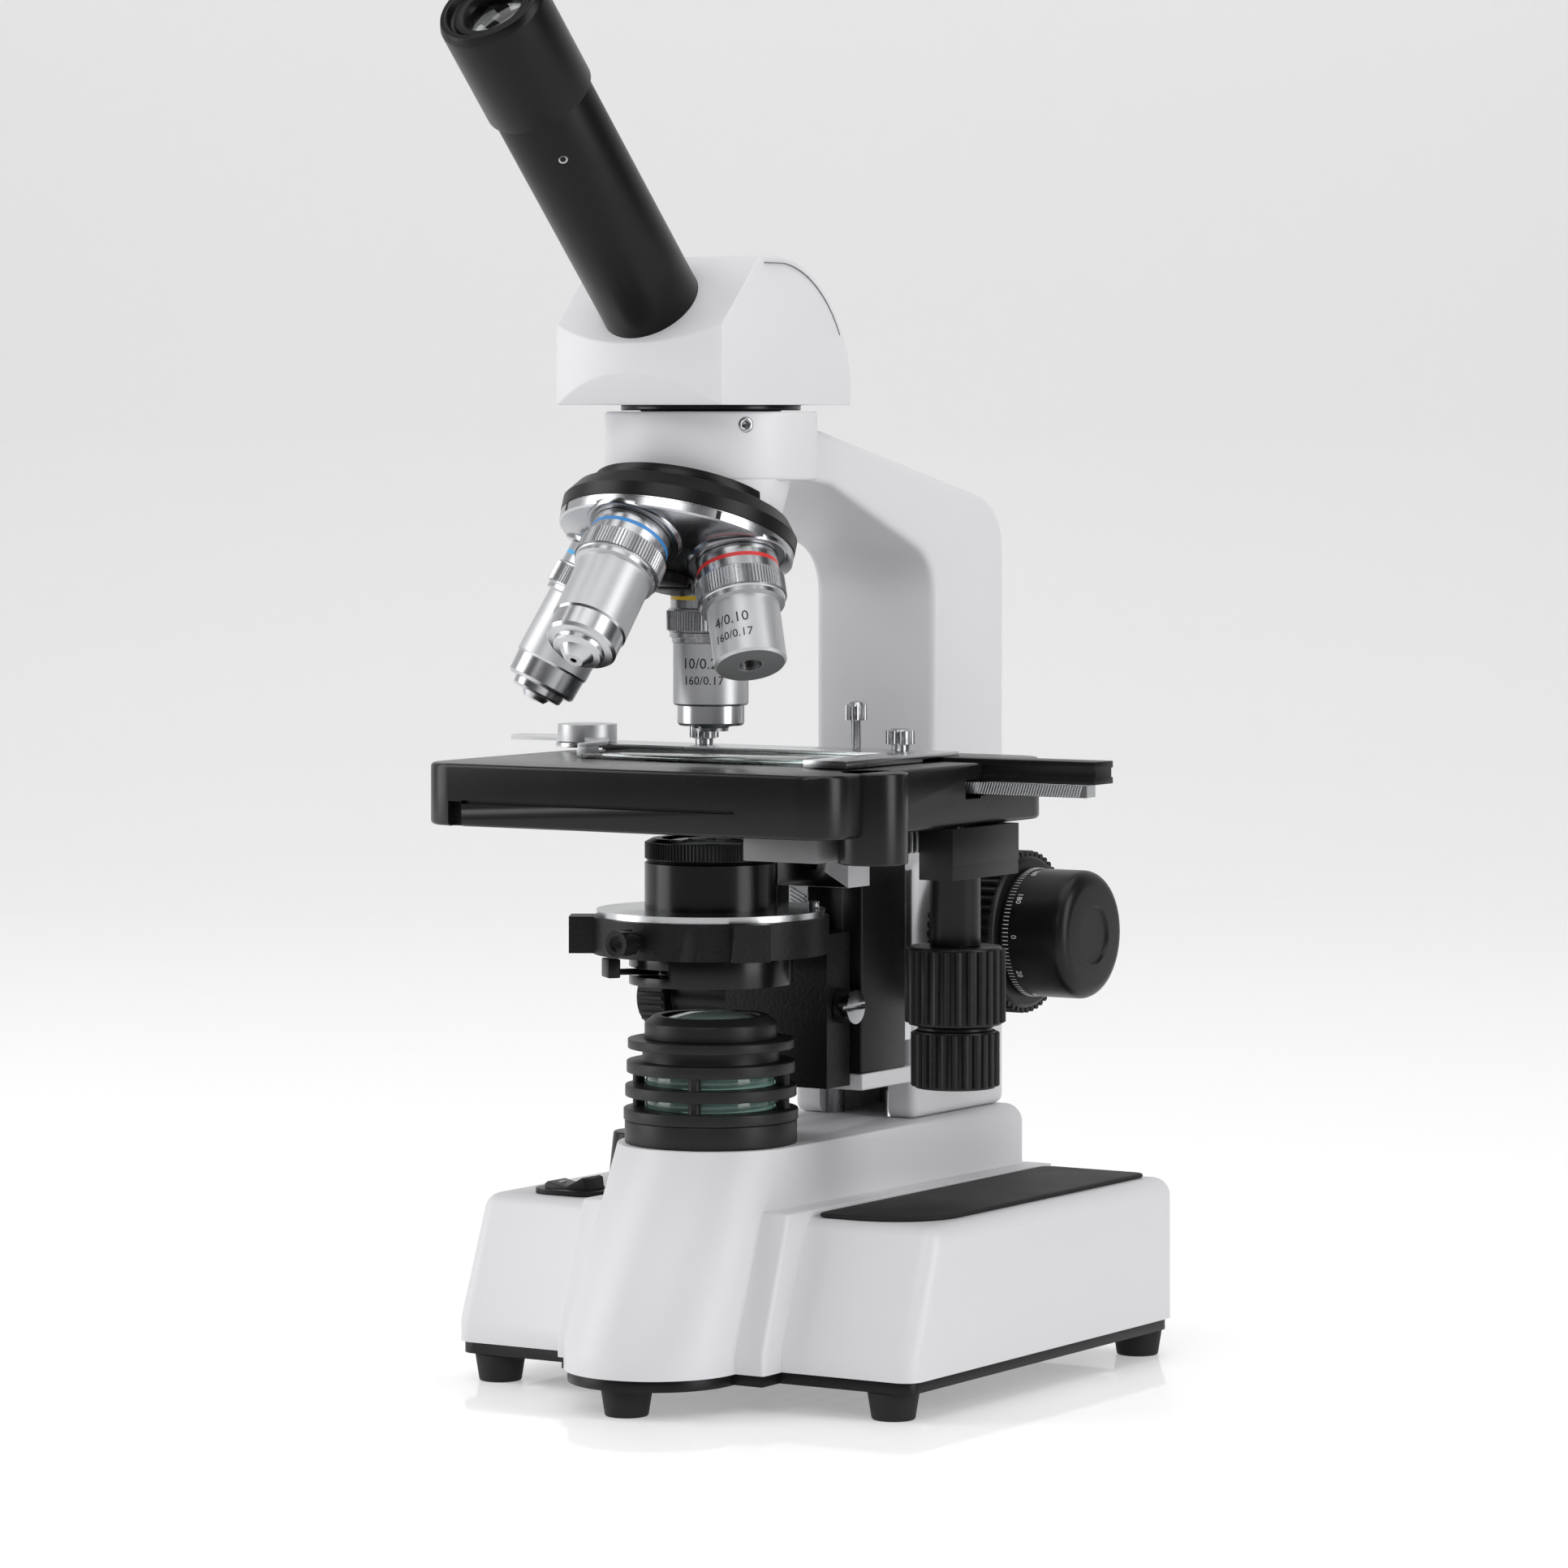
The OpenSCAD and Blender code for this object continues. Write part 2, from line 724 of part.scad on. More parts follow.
module stage_bracket() {
  color(white) on_table() {
    difference() {
      translate([0, 33, 131.5]) cube([22, 11, low_bot - 131.5]);
      translate([11, 32, 137.5]) rotate([-90, 0, 0]) cylinder(r = 4, h = 3.5, $fn = 32);
    }
  }
  color(black) on_table() {
    translate([11, 33.2, 137.5]) rotate([-90, 0, 0]) {
      difference() {
        cylinder(r = 4, h = 2.3, $fn = 32);
        translate([0, 0, -1]) cylinder(r = 1.8, h = 2.4, $fn = 6);
      }
    }
  }
}

module stage_y_rack() {
  color(steel) on_table() {
    translate([drive_x - r_stage, drive_y, low_bot + 0.2]) linear_extrude(height = low_t - 0.6) {
      polygon([for (p = rack_pts(m_stage, -10, 12, drive_x - r_stage - 51)) [p[1], p[0]]]);
    }
  }
}

module condenser_rack() {
  color(steel) on_table() {
    translate([-3, cond_y + r_cond, cond_z]) rotate([90, 0, 90]) linear_extrude(height = 6) {
      polygon([for (p = rack_pts(m_cond, -8, 15, 48 - cond_y - r_cond)) [-p[1], p[0]]]);
    }
  }
}

// ---------------------------------------------------------------- moving stage

module stage_plate() {
  w = stage_right - stage_left;
  d = stage_back - stage_front;
  color([0.1, 0.1, 0.105]) on_table() {
    difference() {
      union() {
        translate([0, 0, under]) linear_extrude(height = stage_t) {
          offset(r = 10) offset(delta = -10) translate([stage_left, stage_front]) square([w, d]);
        }
        // rounded boss on the right edge
        translate([bar_x, -27, low_bot - 0.4]) {
          cylinder(r = bar_r, h = stage_t + under - low_bot + 0.4, $fn = 64);
        }
      }
      // hole for the light and the pocket under it
      translate([0, -1, under - 1]) cylinder(r = stage_hole_r, h = stage_t + 2, $fn = 96);
      translate([-19, -35, under - 1]) cube([38, 66, 7]);
      // groove of the rail and of its rack
      translate([stage_left - 1, 24.9, 161.5]) cube([w + 20, 10.2, 10]);
      translate([stage_left - 1, drive_y + r_stage - 1.0, 157.9]) cube([w + 20, 6.6, 5]);
      // pocket of the pinion and bore of the spindle
      translate([drive_x, drive_y, 157.7]) cylinder(r = r_stage + m_stage + 0.4, h = 4.6, $fn = 48);
      translate([drive_x, drive_y, under - 1]) cylinder(r = spindle_r + run_gap, h = 12, $fn = 48);
      // parting groove along the front
      translate([stage_left + 23, stage_front - 1, under + 6]) cube([82, 1.6, 0.5]);
    }
  }
}

module drive_housing() {
  color(black) on_table() {
    difference() {
      union() {
        translate([drive_x, drive_y, knob_y_top + gap]) cylinder(r = 6.65, h = low_bot - knob_y_top - gap - 0.6, $fn = 64);
        translate([drive_x - 4, drive_y - 7, 137]) cube([12, 14, low_bot - 0.6 - 137]);
        translate([drive_x + 5.9, drive_y - 15, 141]) cube([2.2, 34, under - 141]);
        translate([drive_x - 2, drive_y + 8, 137]) cube([10, 11, under - 137]);
        translate([drive_x - 2, drive_y - 15, 137]) cube([10, 5.4, under - 137]);
        translate([drive_x - 2, drive_y - 15, 137]) cube([10, 34, low_bot - 0.6 - 137]);
      }
      translate([drive_x, drive_y, 100]) cylinder(r = sleeve_r + run_gap, h = 60, $fn = 64);
    }
  }
}

module stage_y_knob() {
  color(black) on_table() {
    translate([drive_x, drive_y, knob_y_bot]) {
      difference() {
        ribbed(knob_y_r, knob_y_top - knob_y_bot, 28, 0.9);
        translate([0, 0, -1]) cylinder(r = sleeve_r, h = 40, $fn = 64);
      }
    }
  }
  color(steel) on_table() {
    translate([drive_x, drive_y, 0]) {
      ring(sleeve_r, spindle_r + run_gap, knob_y_bot, under - 0.8);
      translate([0, 0, low_bot + 0.2]) pinion(m_stage, teeth, low_t - 0.6, sleeve_r);
    }
  }
}

module stage_x_knob() {
  color(black) on_table() {
    translate([drive_x, drive_y, knob_x_bot]) {
      difference() {
        union() {
          ribbed(knob_x_r, knob_x_top - knob_x_bot, 24, 0.9);
          cylinder(r = 10, h = knob_x_top - knob_x_bot + 1, $fn = 48);
        }
        translate([0, 0, -1]) cylinder(r = spindle_r, h = 40, $fn = 64);
      }
    }
  }
  color(steel) on_table() {
    translate([drive_x, drive_y, 0]) {
      translate([0, 0, knob_x_bot]) cylinder(r = spindle_r, h = 162 - knob_x_bot, $fn = 64);
      translate([0, 0, 158.2]) rotate([0, 0, 90]) pinion(m_stage, teeth, 3.2, spindle_r);
    }
  }
}

module stage_rail() {
  color(black) on_table() {
    difference() {
      translate([-50, 25, 161.6]) cube([151, 10, 5.9]);
      translate([-51, 24, 163.3]) cube([153, 1.8, 2.4]);
      translate([-51, 34.2, 163.3]) cube([153, 1.8, 2.4]);
    }
  }
}

module stage_x_rack() {
  color(steel) on_table() {
    translate([drive_x, drive_y + r_stage, 158.2]) linear_extrude(height = 3.4) {
      polygon([for (p = rack_pts(m_stage, -14, 14, 4.6)) [p[0], -p[1]]]);
    }
  }
}

module slide_holder() {
  color(steel) on_table() {
    difference() {
      union() {
        translate([-56, 16, 167.5]) cube([112, 17, 1.2]);
        translate([43, -23.5, 167.5]) cube([13, 40, 1.2]);
        translate([43, -23.5, 166.8]) cube([13, 38, 0.8]);
        translate([-53, 21, 167.5]) cylinder(r = 8.5, h = 1.2, $fn = 48);
      }
      translate([-53, 21, 160]) cylinder(r = 2 + run_gap, h = 20, $fn = 48);
    }
  }
}

module thumbscrews() {
  color(steel) on_table() {
    translate([25.7, 31, 168.7]) {
      cylinder(r = 1.4, h = 7.3, $fn = 24);
      translate([0, 0, 7.2]) ribbed(3, 5.2, 16, 0.35);
    }
    for (x = [40.8, -20.4]) {
      translate([x, 28.5, 168.7]) {
        cylinder(r = 2.4, h = 1.6, $fn = 32);
        translate([0, 0, 1.5]) ribbed(4, 4.4, 20, 0.4);
      }
    }
  }
}

module slide_finger() {
  color(steel) on_table() {
    translate([-53, 21, 0]) {
      translate([0, 0, 168.7 + gap]) cylinder(r = 8, h = 4.6, $fn = 48);
      translate([0, 0, 166.9]) cylinder(r = 2, h = 4, $fn = 48);
      translate([0, 0, 169]) rotate([0, 0, 186]) translate([4, -2.6, 0]) cube([18, 5.2, 1.4]);
    }
    translate([0, 0, 169]) linear_extrude(height = 1.2) {
      polygon([[-59, 20], [-50, 15], [-37.5, 0], [-35.4, -10], [-32.4, -10], [-34.2, 2], [-46, 21]]);
    }
    translate([-33.9, -7.4, 166.9]) linear_extrude(height = 2.2) square([3, 6], center = true);
  }
}

module glass_slide() {
  color(glass) on_table() {
    translate([43 - slide_l, -slide_w / 2 - 1, 166.8]) cube([slide_l, slide_w, 1.1]);
  }
}

// ---------------------------------------------------------------- condenser

module condenser_holder() {
  color([0.09, 0.09, 0.09]) on_table() {
    difference() {
      union() {
        translate([0, 0, 116]) cylinder(r = cond_ring_r, h = 9.6, $fn = 96);
        translate([-16, 26, 116]) cube([32, 8, 3]);
        translate([-16, 32, 78]) cube([32, 11.7, 41]);
        translate([-12.94, 43.6, 82]) cube([25.88, 4.1, 37]);
        rotate([0, 0, -150]) translate([24, -5, 116]) cube([13, 10, 9.6]);
        rotate([0, 0, -39]) translate([24, -5, 116]) cube([10, 10, 9.6]);
        // clamp screw at the front with its grip
        rotate([0, 0, -95]) translate([28, 0, 120.8]) rotate([0, 90, 0]) {
          cylinder(r = 2, h = 6, $fn = 32);
          translate([0, 0, 5]) cylinder(r1 = 2.8, r2 = 3.5, h = 7, $fn = 32);
        }
      }
      translate([0, 0, 100]) cylinder(r = cond_flange_r - 6, h = 40, $fn = 96);
      // slot that clears the rack and its pinion
      translate([-4.4, 33.6, 70]) cube([8.8, 20, 60]);
      translate([-30, cond_y, cond_z]) rotate([0, 90, 0]) cylinder(r = 2.5 + run_gap, h = 60, $fn = 48);
    }
  }
}

module condenser_body() {
  color(steel) on_table() {
    difference() {
      union() {
        translate([0, 0, 125.6]) cylinder(r = cond_flange_r, h = 1.9, $fn = 96);
        translate([0, 0, 116]) cylinder(r = cond_flange_r - 6, h = 9.7, $fn = 96);
      }
      translate([0, 0, 110]) cylinder(r = 13, h = 20, $fn = 64);
    }
  }
  color(black) on_table() {
    ring(cond_r, 13, 127.5 - eps, 140);
    difference() {
      translate([0, 0, 140 - eps]) ribbed(cond_r - 0.2, 6, 72, 0.35);
      translate([0, 0, 130]) cylinder(r = 13, h = 20, $fn = 64);
    }
  }
}

module condenser_lens() {
  color(glass) on_table() {
    translate([0, 0, 139]) rotate_extrude($fn = 64) {
      polygon([[0, 0], [13, 0], [13, 5.6], [11, 6.4], [6, 6.9], [0, 7]]);
    }
    translate([0, 0, 117]) rotate_extrude($fn = 64) {
      polygon([[0, 1.6], [4, 1.4], [9, 0.6], [13, 0], [13, 5], [0, 5]]);
    }
  }
}

module iris_housing() {
  color(black) on_table() {
    difference() {
      translate([0, 0, 108]) cylinder(r = iris_r, h = 8, $fn = 96);
      translate([0, 0, 100]) cylinder(r = 11, h = 20, $fn = 64);
      // slot of the lever
      translate([0, 0, 110.4]) rotate_extrude(angle = 84, start = -172, $fn = 64) translate([14, 0]) square([12, 2.2]);
    }
  }
}

module iris_lever() {
  color(black) on_table() {
    rotate([0, 0, -130]) {
      translate([14.4, -1.5, 110.75]) cube([13, 3, 1.5]);
      translate([25.6, -3.2, 110.1]) cube([3.4, 6.4, 5]);
    }
  }
}

module condenser_shaft() {
  color(steel) on_table() {
    translate([-36, cond_y, cond_z]) rotate([0, 90, 0]) cylinder(r = 2.5, h = 53.5, $fn = 48);
    translate([-3.6, cond_y, cond_z]) rotate([0, 90, 0]) rotate([0, 0, 90]) pinion(m_cond, teeth, 7.2, 2.5);
    translate([16 + gap, cond_y, cond_z]) rotate([0, 90, 0]) difference() {
      cylinder(r = 4.6, h = 4.6, $fn = 48);
      translate([-0.5, -6, 3.4]) cube([1, 12, 2]);
    }
  }
}

module condenser_knob() {
  color(black) on_table() {
    translate([-44, cond_y, cond_z]) rotate([0, 90, 0]) {
      difference() {
        union() {
          ribbed(8.5, 9, 24, 0.6);
          cylinder(r = 4.5, h = 27, $fn = 48);
        }
        translate([0, 0, 8]) cylinder(r = 2.5, h = 30, $fn = 48);
      }
    }
  }
}

// ---------------------------------------------------------------- nosepiece

module nosepiece_mount() {
  color(black) on_table() {
    nose_frame() difference() {
      translate([0, 0, -37.7]) cylinder(r = 24, h = 3, $fn = 96);
      translate([0, 0, -50]) cylinder(r = 4, h = 30, $fn = 48);
      rotate([lean, 0, 0]) translate([0, 0, -60]) cylinder(r = 8.5, h = 60, $fn = 64);
    }
  }
  color(steel) on_table() {
    nose_frame() difference() {
      union() {
        translate([0, 0, -59]) cylinder(r = 4, h = 32, $fn = 48);
        translate([0, 0, -60.6]) cylinder(r = 7, h = 2.7, $fn = 48);
      }
      translate([-8, -0.7, -61]) cube([16, 1.4, 1.6]);
    }
  }
}

seat_r = shoulder * sin(lean);
seat_z = -shoulder * cos(lean);

module nosepiece_disc() {
  color(black) on_table() {
    nose_frame() difference() {
      union() {
      rotate_extrude($fn = 96) {
        polygon([
          [4 + run_gap, -38], [nose_r - 3.4, -38], [nose_r, -42], [nose_r, -48.6],
          [nose_r - 1, seat_z + (nose_r - 1 - seat_r) * tan(lean)], [8, seat_z - (seat_r - 8) * tan(lean)],
          [4 + run_gap, seat_z - (seat_r - 8) * tan(lean)]
        ]);
      }
        // flat seats of the objectives
        for (k = [0:3]) {
          rotate([0, 0, 90 * k]) rotate([lean, 0, 0]) translate([0, 0, -shoulder]) cylinder(r = 11.5, h = 8, $fn = 64);
        }
      }
      for (k = [0:3]) {
        rotate([0, 0, 90 * k]) rotate([lean, 0, 0]) translate([0, 0, -70]) cylinder(r = 10.16, h = 24, $fn = 64);
        rotate([0, 0, 90 * k]) rotate([lean, 0, 0]) translate([0, 0, -60]) cylinder(r = 8.5, h = 60, $fn = 64);
      }
    }
  }
}

module in_turret(k) {
  nose_frame() rotate([0, 0, 90 * k]) rotate([lean, 0, 0]) translate([0, 0, -shoulder]) children();
}

// objective hanging below its shoulder at z = 0: profile points are [r, z], z downwards negative
module objective(pts, bore, tip, seat) {
  color(steel) {
    difference() {
      union() {
        rotate_extrude($fn = 96) polygon(concat([[0, 0]], pts, [[0, tip]]));
        translate([0, 0, -eps]) cylinder(r = 10.1, h = 4.6, $fn = 64);
        translate([0, 0, -11.6]) ribbed(knurl_r, 5.6, 60, 0.28);
      }
      translate([0, 0, tip + seat]) cylinder(r = 7, h = 80, $fn = 48);
      translate([0, 0, tip - 1]) cylinder(r = bore, h = seat + 2, $fn = 48);
    }
  }
  color(glass) {
    translate([0, 0, tip + seat]) cylinder(r = 7, h = 1.2, $fn = 48);
  }
}

module objective_10x() {
  on_table() in_turret(0) objective([
    [10.9, 0], [10.9, -6], [10.9, -13.2], [9.9, -13.8], [9.9, -31], [8.8, -31.4],
    [8.8, -36.2], [8.2, -36.6], [5.2, -36.6], [4.8, -38.2]
  ], 2.4, -38.2, 4);
}

module objective_4x() {
  on_table() in_turret(3) objective([
    [10.9, 0], [10.9, -13.6], [9.4, -14.2], [9.4, -29.4], [8.8, -30]
  ], 3, -30, 1.4);
}

module objective_40x() {
  on_table() in_turret(2) objective([
    [10.9, 0], [10.9, -13.2], [9.9, -13.8], [9.9, -31], [8.4, -31.6], [8.4, -37], [4.2, -41.4], [3.6, -41.6]
  ], 1.6, -41.6, 5.6);
}

module objective_100x() {
  on_table() in_turret(1) objective([
    [10.9, 0], [10.9, -13.2], [9.9, -13.8], [9.9, -32], [8.4, -32.6], [8.4, -38], [3.8, -41.4], [3, -41.6]
  ], 1.2, -41.6, 5);
}

// ---------------------------------------------------------------- head

head_bottom = ring_top + 1.7;

function head_side(i) = concat(
  [[27.3 - i, head_bottom + (i > 0 ? -1 : 0)], [27.3 - i, 266]],
  [for (a = [0:10:90]) [-6 + (33.3 - i) * cos(a), 266 + (head_top - 266 - i) * sin(a)]],
  [[-16.7 + 0.41 * i, head_top - i], [-34.5 + i, 280.2 - 0.41 * i], [-34.5 + i, head_bottom + (i > 0 ? -1 : 0)]]
);

module in_tube() {
  translate([0, tube_y, tube_z]) rotate([45, 0, 0]) children();
}

module head_housing() {
  color(white) on_table() {
    difference() {
      translate([-head_half_w, 0, 0]) rotate([90, 0, 90]) linear_extrude(height = 2 * head_half_w) polygon(head_side(0));
      difference() {
        translate([-head_half_w + 3.5, 0, 0]) rotate([90, 0, 90]) linear_extrude(height = 2 * head_half_w - 7) polygon(head_side(3.5));
        translate([-40, -60, head_bottom - 2]) cube([80, 120, 6]);
      }
      translate([0, 0, head_bottom - 2]) cylinder(r = 12, h = 8, $fn = 64);
      in_tube() translate([0, 0, -8]) cylinder(r = tube_r, h = 30, $fn = 96);
    }
    // dovetail ring that drops into the arm
    difference() {
      union() {
        translate([0, 0, ring_top + gap]) cylinder(r = 23.6, h = head_bottom - ring_top - gap + eps, $fn = 96);
        translate([0, 0, ring_top - 6]) cylinder(r1 = 18.5, r2 = 17.4, h = 6 + gap + eps, $fn = 96);
      }
      translate([0, 0, ring_top - 10]) cylinder(r = 12, h = 20, $fn = 64);
    }
  }
}

module eyepiece_tube() {
  color(black) on_table() {
    in_tube() ring(tube_r, tube_in_r, -6, tube_l);
  }
}

module eyepiece() {
  color(black) on_table() {
    in_tube() difference() {
      union() {
        translate([0, 0, tube_l - 26]) cylinder(r = tube_in_r - run_gap, h = 26 + gap + eps, $fn = 96);
        translate([0, 0, tube_l + gap]) rotate_extrude($fn = 96) {
          polygon([[0, 0], [eye_r, 0], [eye_r, eye_l - 1.2], [eye_r - 1.2, eye_l], [eye_r - 2.4, eye_l], [eye_r - 3, eye_l - 1.6], [0, eye_l - 1.6]]);
        }
      }
      translate([0, 0, tube_l - 30]) cylinder(r = tube_in_r - 1.2, h = 40, $fn = 96);
      translate([0, 0, tube_l]) cylinder(r = 7, h = 60, $fn = 64);
    }
  }
  color(glass) on_table() {
    in_tube() translate([0, 0, tube_l + eye_l - 7]) cylinder(r = 7, h = 3, $fn = 64);
    in_tube() translate([0, 0, tube_l - 24]) cylinder(r = tube_in_r - 1.2, h = 2.5, $fn = 64);
  }
}

base_housing();
base_plate();
rubber_feet();
base_screws();
arm_rest_pad();
switch_bezel();
rocker_switch();
dimmer_pot();
dimmer_knob();
power_inlet();
lamp_collar();
lens_cage();
filter_glasses();
lens_retainer();
field_lens();
led_board();
led_emitter();
driver_board();
arm();
arm_bolts();
focus_guide();
focus_bushes();
coarse_knobs();
coarse_shaft();
focus_pinion();
fine_knobs();
fine_shaft();
focus_carriage();
focus_rack();
carriage_foot();
stage_base_plate();
stage_bracket();
stage_y_rack();
condenser_rack();
stage_plate();
drive_housing();
stage_y_knob();
stage_x_knob();
stage_rail();
stage_x_rack();
slide_holder();
thumbscrews();
slide_finger();
glass_slide();
condenser_holder();
condenser_body();
condenser_lens();
iris_housing();
iris_lever();
condenser_shaft();
condenser_knob();
nosepiece_mount();
nosepiece_disc();
objective_4x();
objective_10x();
objective_40x();
objective_100x();
head_housing();
eyepiece_tube();
eyepiece();
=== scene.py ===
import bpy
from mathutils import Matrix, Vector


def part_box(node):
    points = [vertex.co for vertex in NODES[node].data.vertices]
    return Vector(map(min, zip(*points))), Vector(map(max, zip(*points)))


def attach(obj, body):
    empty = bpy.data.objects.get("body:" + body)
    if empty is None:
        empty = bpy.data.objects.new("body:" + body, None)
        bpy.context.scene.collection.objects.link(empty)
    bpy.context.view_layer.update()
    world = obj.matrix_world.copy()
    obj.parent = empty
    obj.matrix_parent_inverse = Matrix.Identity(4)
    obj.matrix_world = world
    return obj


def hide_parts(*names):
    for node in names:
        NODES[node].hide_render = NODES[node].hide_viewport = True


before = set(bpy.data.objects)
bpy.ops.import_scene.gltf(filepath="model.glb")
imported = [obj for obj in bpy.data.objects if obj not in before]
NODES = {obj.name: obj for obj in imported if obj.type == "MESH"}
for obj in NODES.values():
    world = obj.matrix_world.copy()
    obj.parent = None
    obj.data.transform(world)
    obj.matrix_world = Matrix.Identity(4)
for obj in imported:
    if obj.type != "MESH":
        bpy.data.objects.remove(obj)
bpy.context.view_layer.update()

import math

import bmesh
import bpy
from bpy.props import FloatProperty, FloatVectorProperty, IntProperty, PointerProperty
from mathutils import Matrix, Vector

bl_info = {
    "name": "Teaching microscope",
    "version": (1, 0, 0),
    "blender": (4, 5, 0),
    "location": "View3D > Sidebar > Microscope",
    "description": "Dresses the microscope's frame with its finished pieces, materials and stage",
    "category": "Object",
}

MM = 0.001
# the optical axis in the row's frame, in metres
AXIS_X, AXIS_Y = -0.0120, -0.0063
# nosepiece: lean of its axis, height where it meets the optical axis, distance from there to the objective seats
LEAN = math.radians(20.5)
APEX_Z = 268.8
SHOULDER = 56.8
# axis of the focus drive, axis of the stage knobs, height of the condenser's screws
FOCUS_Y, FOCUS_Z = 94.5, 116.5
DRIVE_X, DRIVE_Y = 62.5, 20
SCREW_Z = 120.8


def pt(x, y, z):
    """A point given in millimetres from the optical axis, in the row's frame."""
    return Vector((AXIS_X + x * MM, AXIS_Y + y * MM, z * MM))


def place(x, y, z):
    return Matrix.Translation(pt(x, y, z))


def shift(x, y, z):
    return Matrix.Translation((x * MM, y * MM, z * MM))


def turned(degrees, axis="Z"):
    return Matrix.Rotation(math.radians(degrees), 4, axis)


def arc(cx, cy, rx, ry, angles):
    """Points on an ellipse round (cx, cy) at these angles in degrees."""
    return [(cx + rx * math.cos(math.radians(a)), cy + ry * math.sin(math.radians(a))) for a in angles]


# ------------------------------------------------------------------ sizes and colours

def colour(name, text, rgb):
    return FloatVectorProperty(name=name, description=text, default=rgb, size=3, subtype="COLOR", min=0, max=1)


class MICRO_PG_finish(bpy.types.PropertyGroup):
    body: colour("Body paint", "Colour of the white castings", (0.66, 0.655, 0.675))
    black: colour("Black paint", "Colour of the black castings", (0.005, 0.005, 0.0053))
    knob: colour("Knob plastic", "Colour of the knobs", (0.006, 0.006, 0.0063))
    rubber: colour("Rubber", "Colour of the arm rest and feet", (0.016, 0.016, 0.017))
    steel: colour("Bright metal", "Colour of the chrome parts", (0.5, 0.505, 0.52))
    satin: colour("Satin metal", "Colour of the objective barrels", (0.52, 0.525, 0.535))
    band_low: colour("4x band", "Colour of the 4x objective's band", (0.62, 0.03, 0.03))
    band_mid: colour("10x band", "Colour of the 10x objective's band", (0.85, 0.55, 0.02))
    band_high: colour("40x band", "Colour of the 40x objective's band", (0.03, 0.22, 0.55))
    grain: FloatProperty(name="Paint grain", description="Height of the grain of the body paint", default=0.05, min=0,
                         max=1)


class MICRO_PG_shape(bpy.types.PropertyGroup):
    edge: FloatProperty(name="Edge radius", description="Rounding of small machined edges", default=0.00035,
                        unit="LENGTH")
    arm_edge: FloatProperty(name="Arm edge", description="Rounding of the arm casting", default=0.0026, unit="LENGTH")
    head_edge: FloatProperty(name="Head edge", description="Rounding of the head casting", default=0.0022,
                             unit="LENGTH")
    coarse_ribs: IntProperty(name="Coarse ribs", description="Ribs round a coarse knob", default=52, min=12, max=90)
    stage_ribs: IntProperty(name="Stage ribs", description="Ribs round a stage knob", default=26, min=8, max=60)
    knurls: IntProperty(name="Knurls", description="Knurls round an objective", default=84, min=20, max=140)
    lens: FloatProperty(name="Lens", description="Focal length of the camera", default=141.6, unit="CAMERA")


def finish():
    return bpy.context.scene.micro_finish


def shape():
    return bpy.context.scene.micro_shape


# ------------------------------------------------------------------ shader groups

def put(node, **values):
    for key, value in values.items():
        node.inputs[key.replace("_", " ")].default_value = value


def wire(links, a, out, b, into):
    links.new(a.outputs[out], b.inputs[into])


def math_node(nodes, operation):
    node = nodes.new("ShaderNodeMath")
    node.operation = operation
    return node


def new_group(name, ins, outs, kind_of_tree="ShaderNodeTree"):
    g = bpy.data.node_groups.new(name, kind_of_tree)
    for label, kind, value in ins:
        s = g.interface.new_socket(name=label, in_out="INPUT", socket_type="NodeSocket" + kind)
        if value is not None:
            s.default_value = value
    for label, kind in outs:
        g.interface.new_socket(name=label, in_out="OUTPUT", socket_type="NodeSocket" + kind)
    return g, g.nodes.new("NodeGroupInput"), g.nodes.new("NodeGroupOutput")


def grain_group():
    """Fine even grain with slow patches: height for a bump and a value for roughness."""
    g = bpy.data.node_groups.get("fine_grain")
    if g:
        return g
    g, i, o = new_group("fine_grain",
                        [("Vector", "Vector", None), ("Scale", "Float", 2500.0),
                         ("Roughness", "Float", 0.4), ("Spread", "Float", 0.08)],
                        [("Height", "Float"), ("Roughness", "Float"), ("Patch", "Float")])
    n, l = g.nodes, g.links
    fine = n.new("ShaderNodeTexNoise")
    put(fine, Detail=3)
    slow = n.new("ShaderNodeTexNoise")
    put(slow, Scale=42, Detail=4)
    for t in (fine, slow):
        wire(l, i, "Vector", t, "Vector")
    wire(l, i, "Scale", fine, "Scale")
    mr = n.new("ShaderNodeMapRange")
    lo = math_node(n, "SUBTRACT")
    hi = math_node(n, "ADD")
    for m in (lo, hi):
        wire(l, i, "Roughness", m, 0)
        wire(l, i, "Spread", m, 1)
    put(mr, From_Min=0.3, From_Max=0.7)
    wire(l, slow, "Fac", mr, "Value")
    wire(l, lo, 0, mr, "To Min")
    wire(l, hi, 0, mr, "To Max")
    wire(l, fine, "Fac", o, "Height")
    wire(l, mr, "Result", o, "Roughness")
    wire(l, slow, "Fac", o, "Patch")
    return g


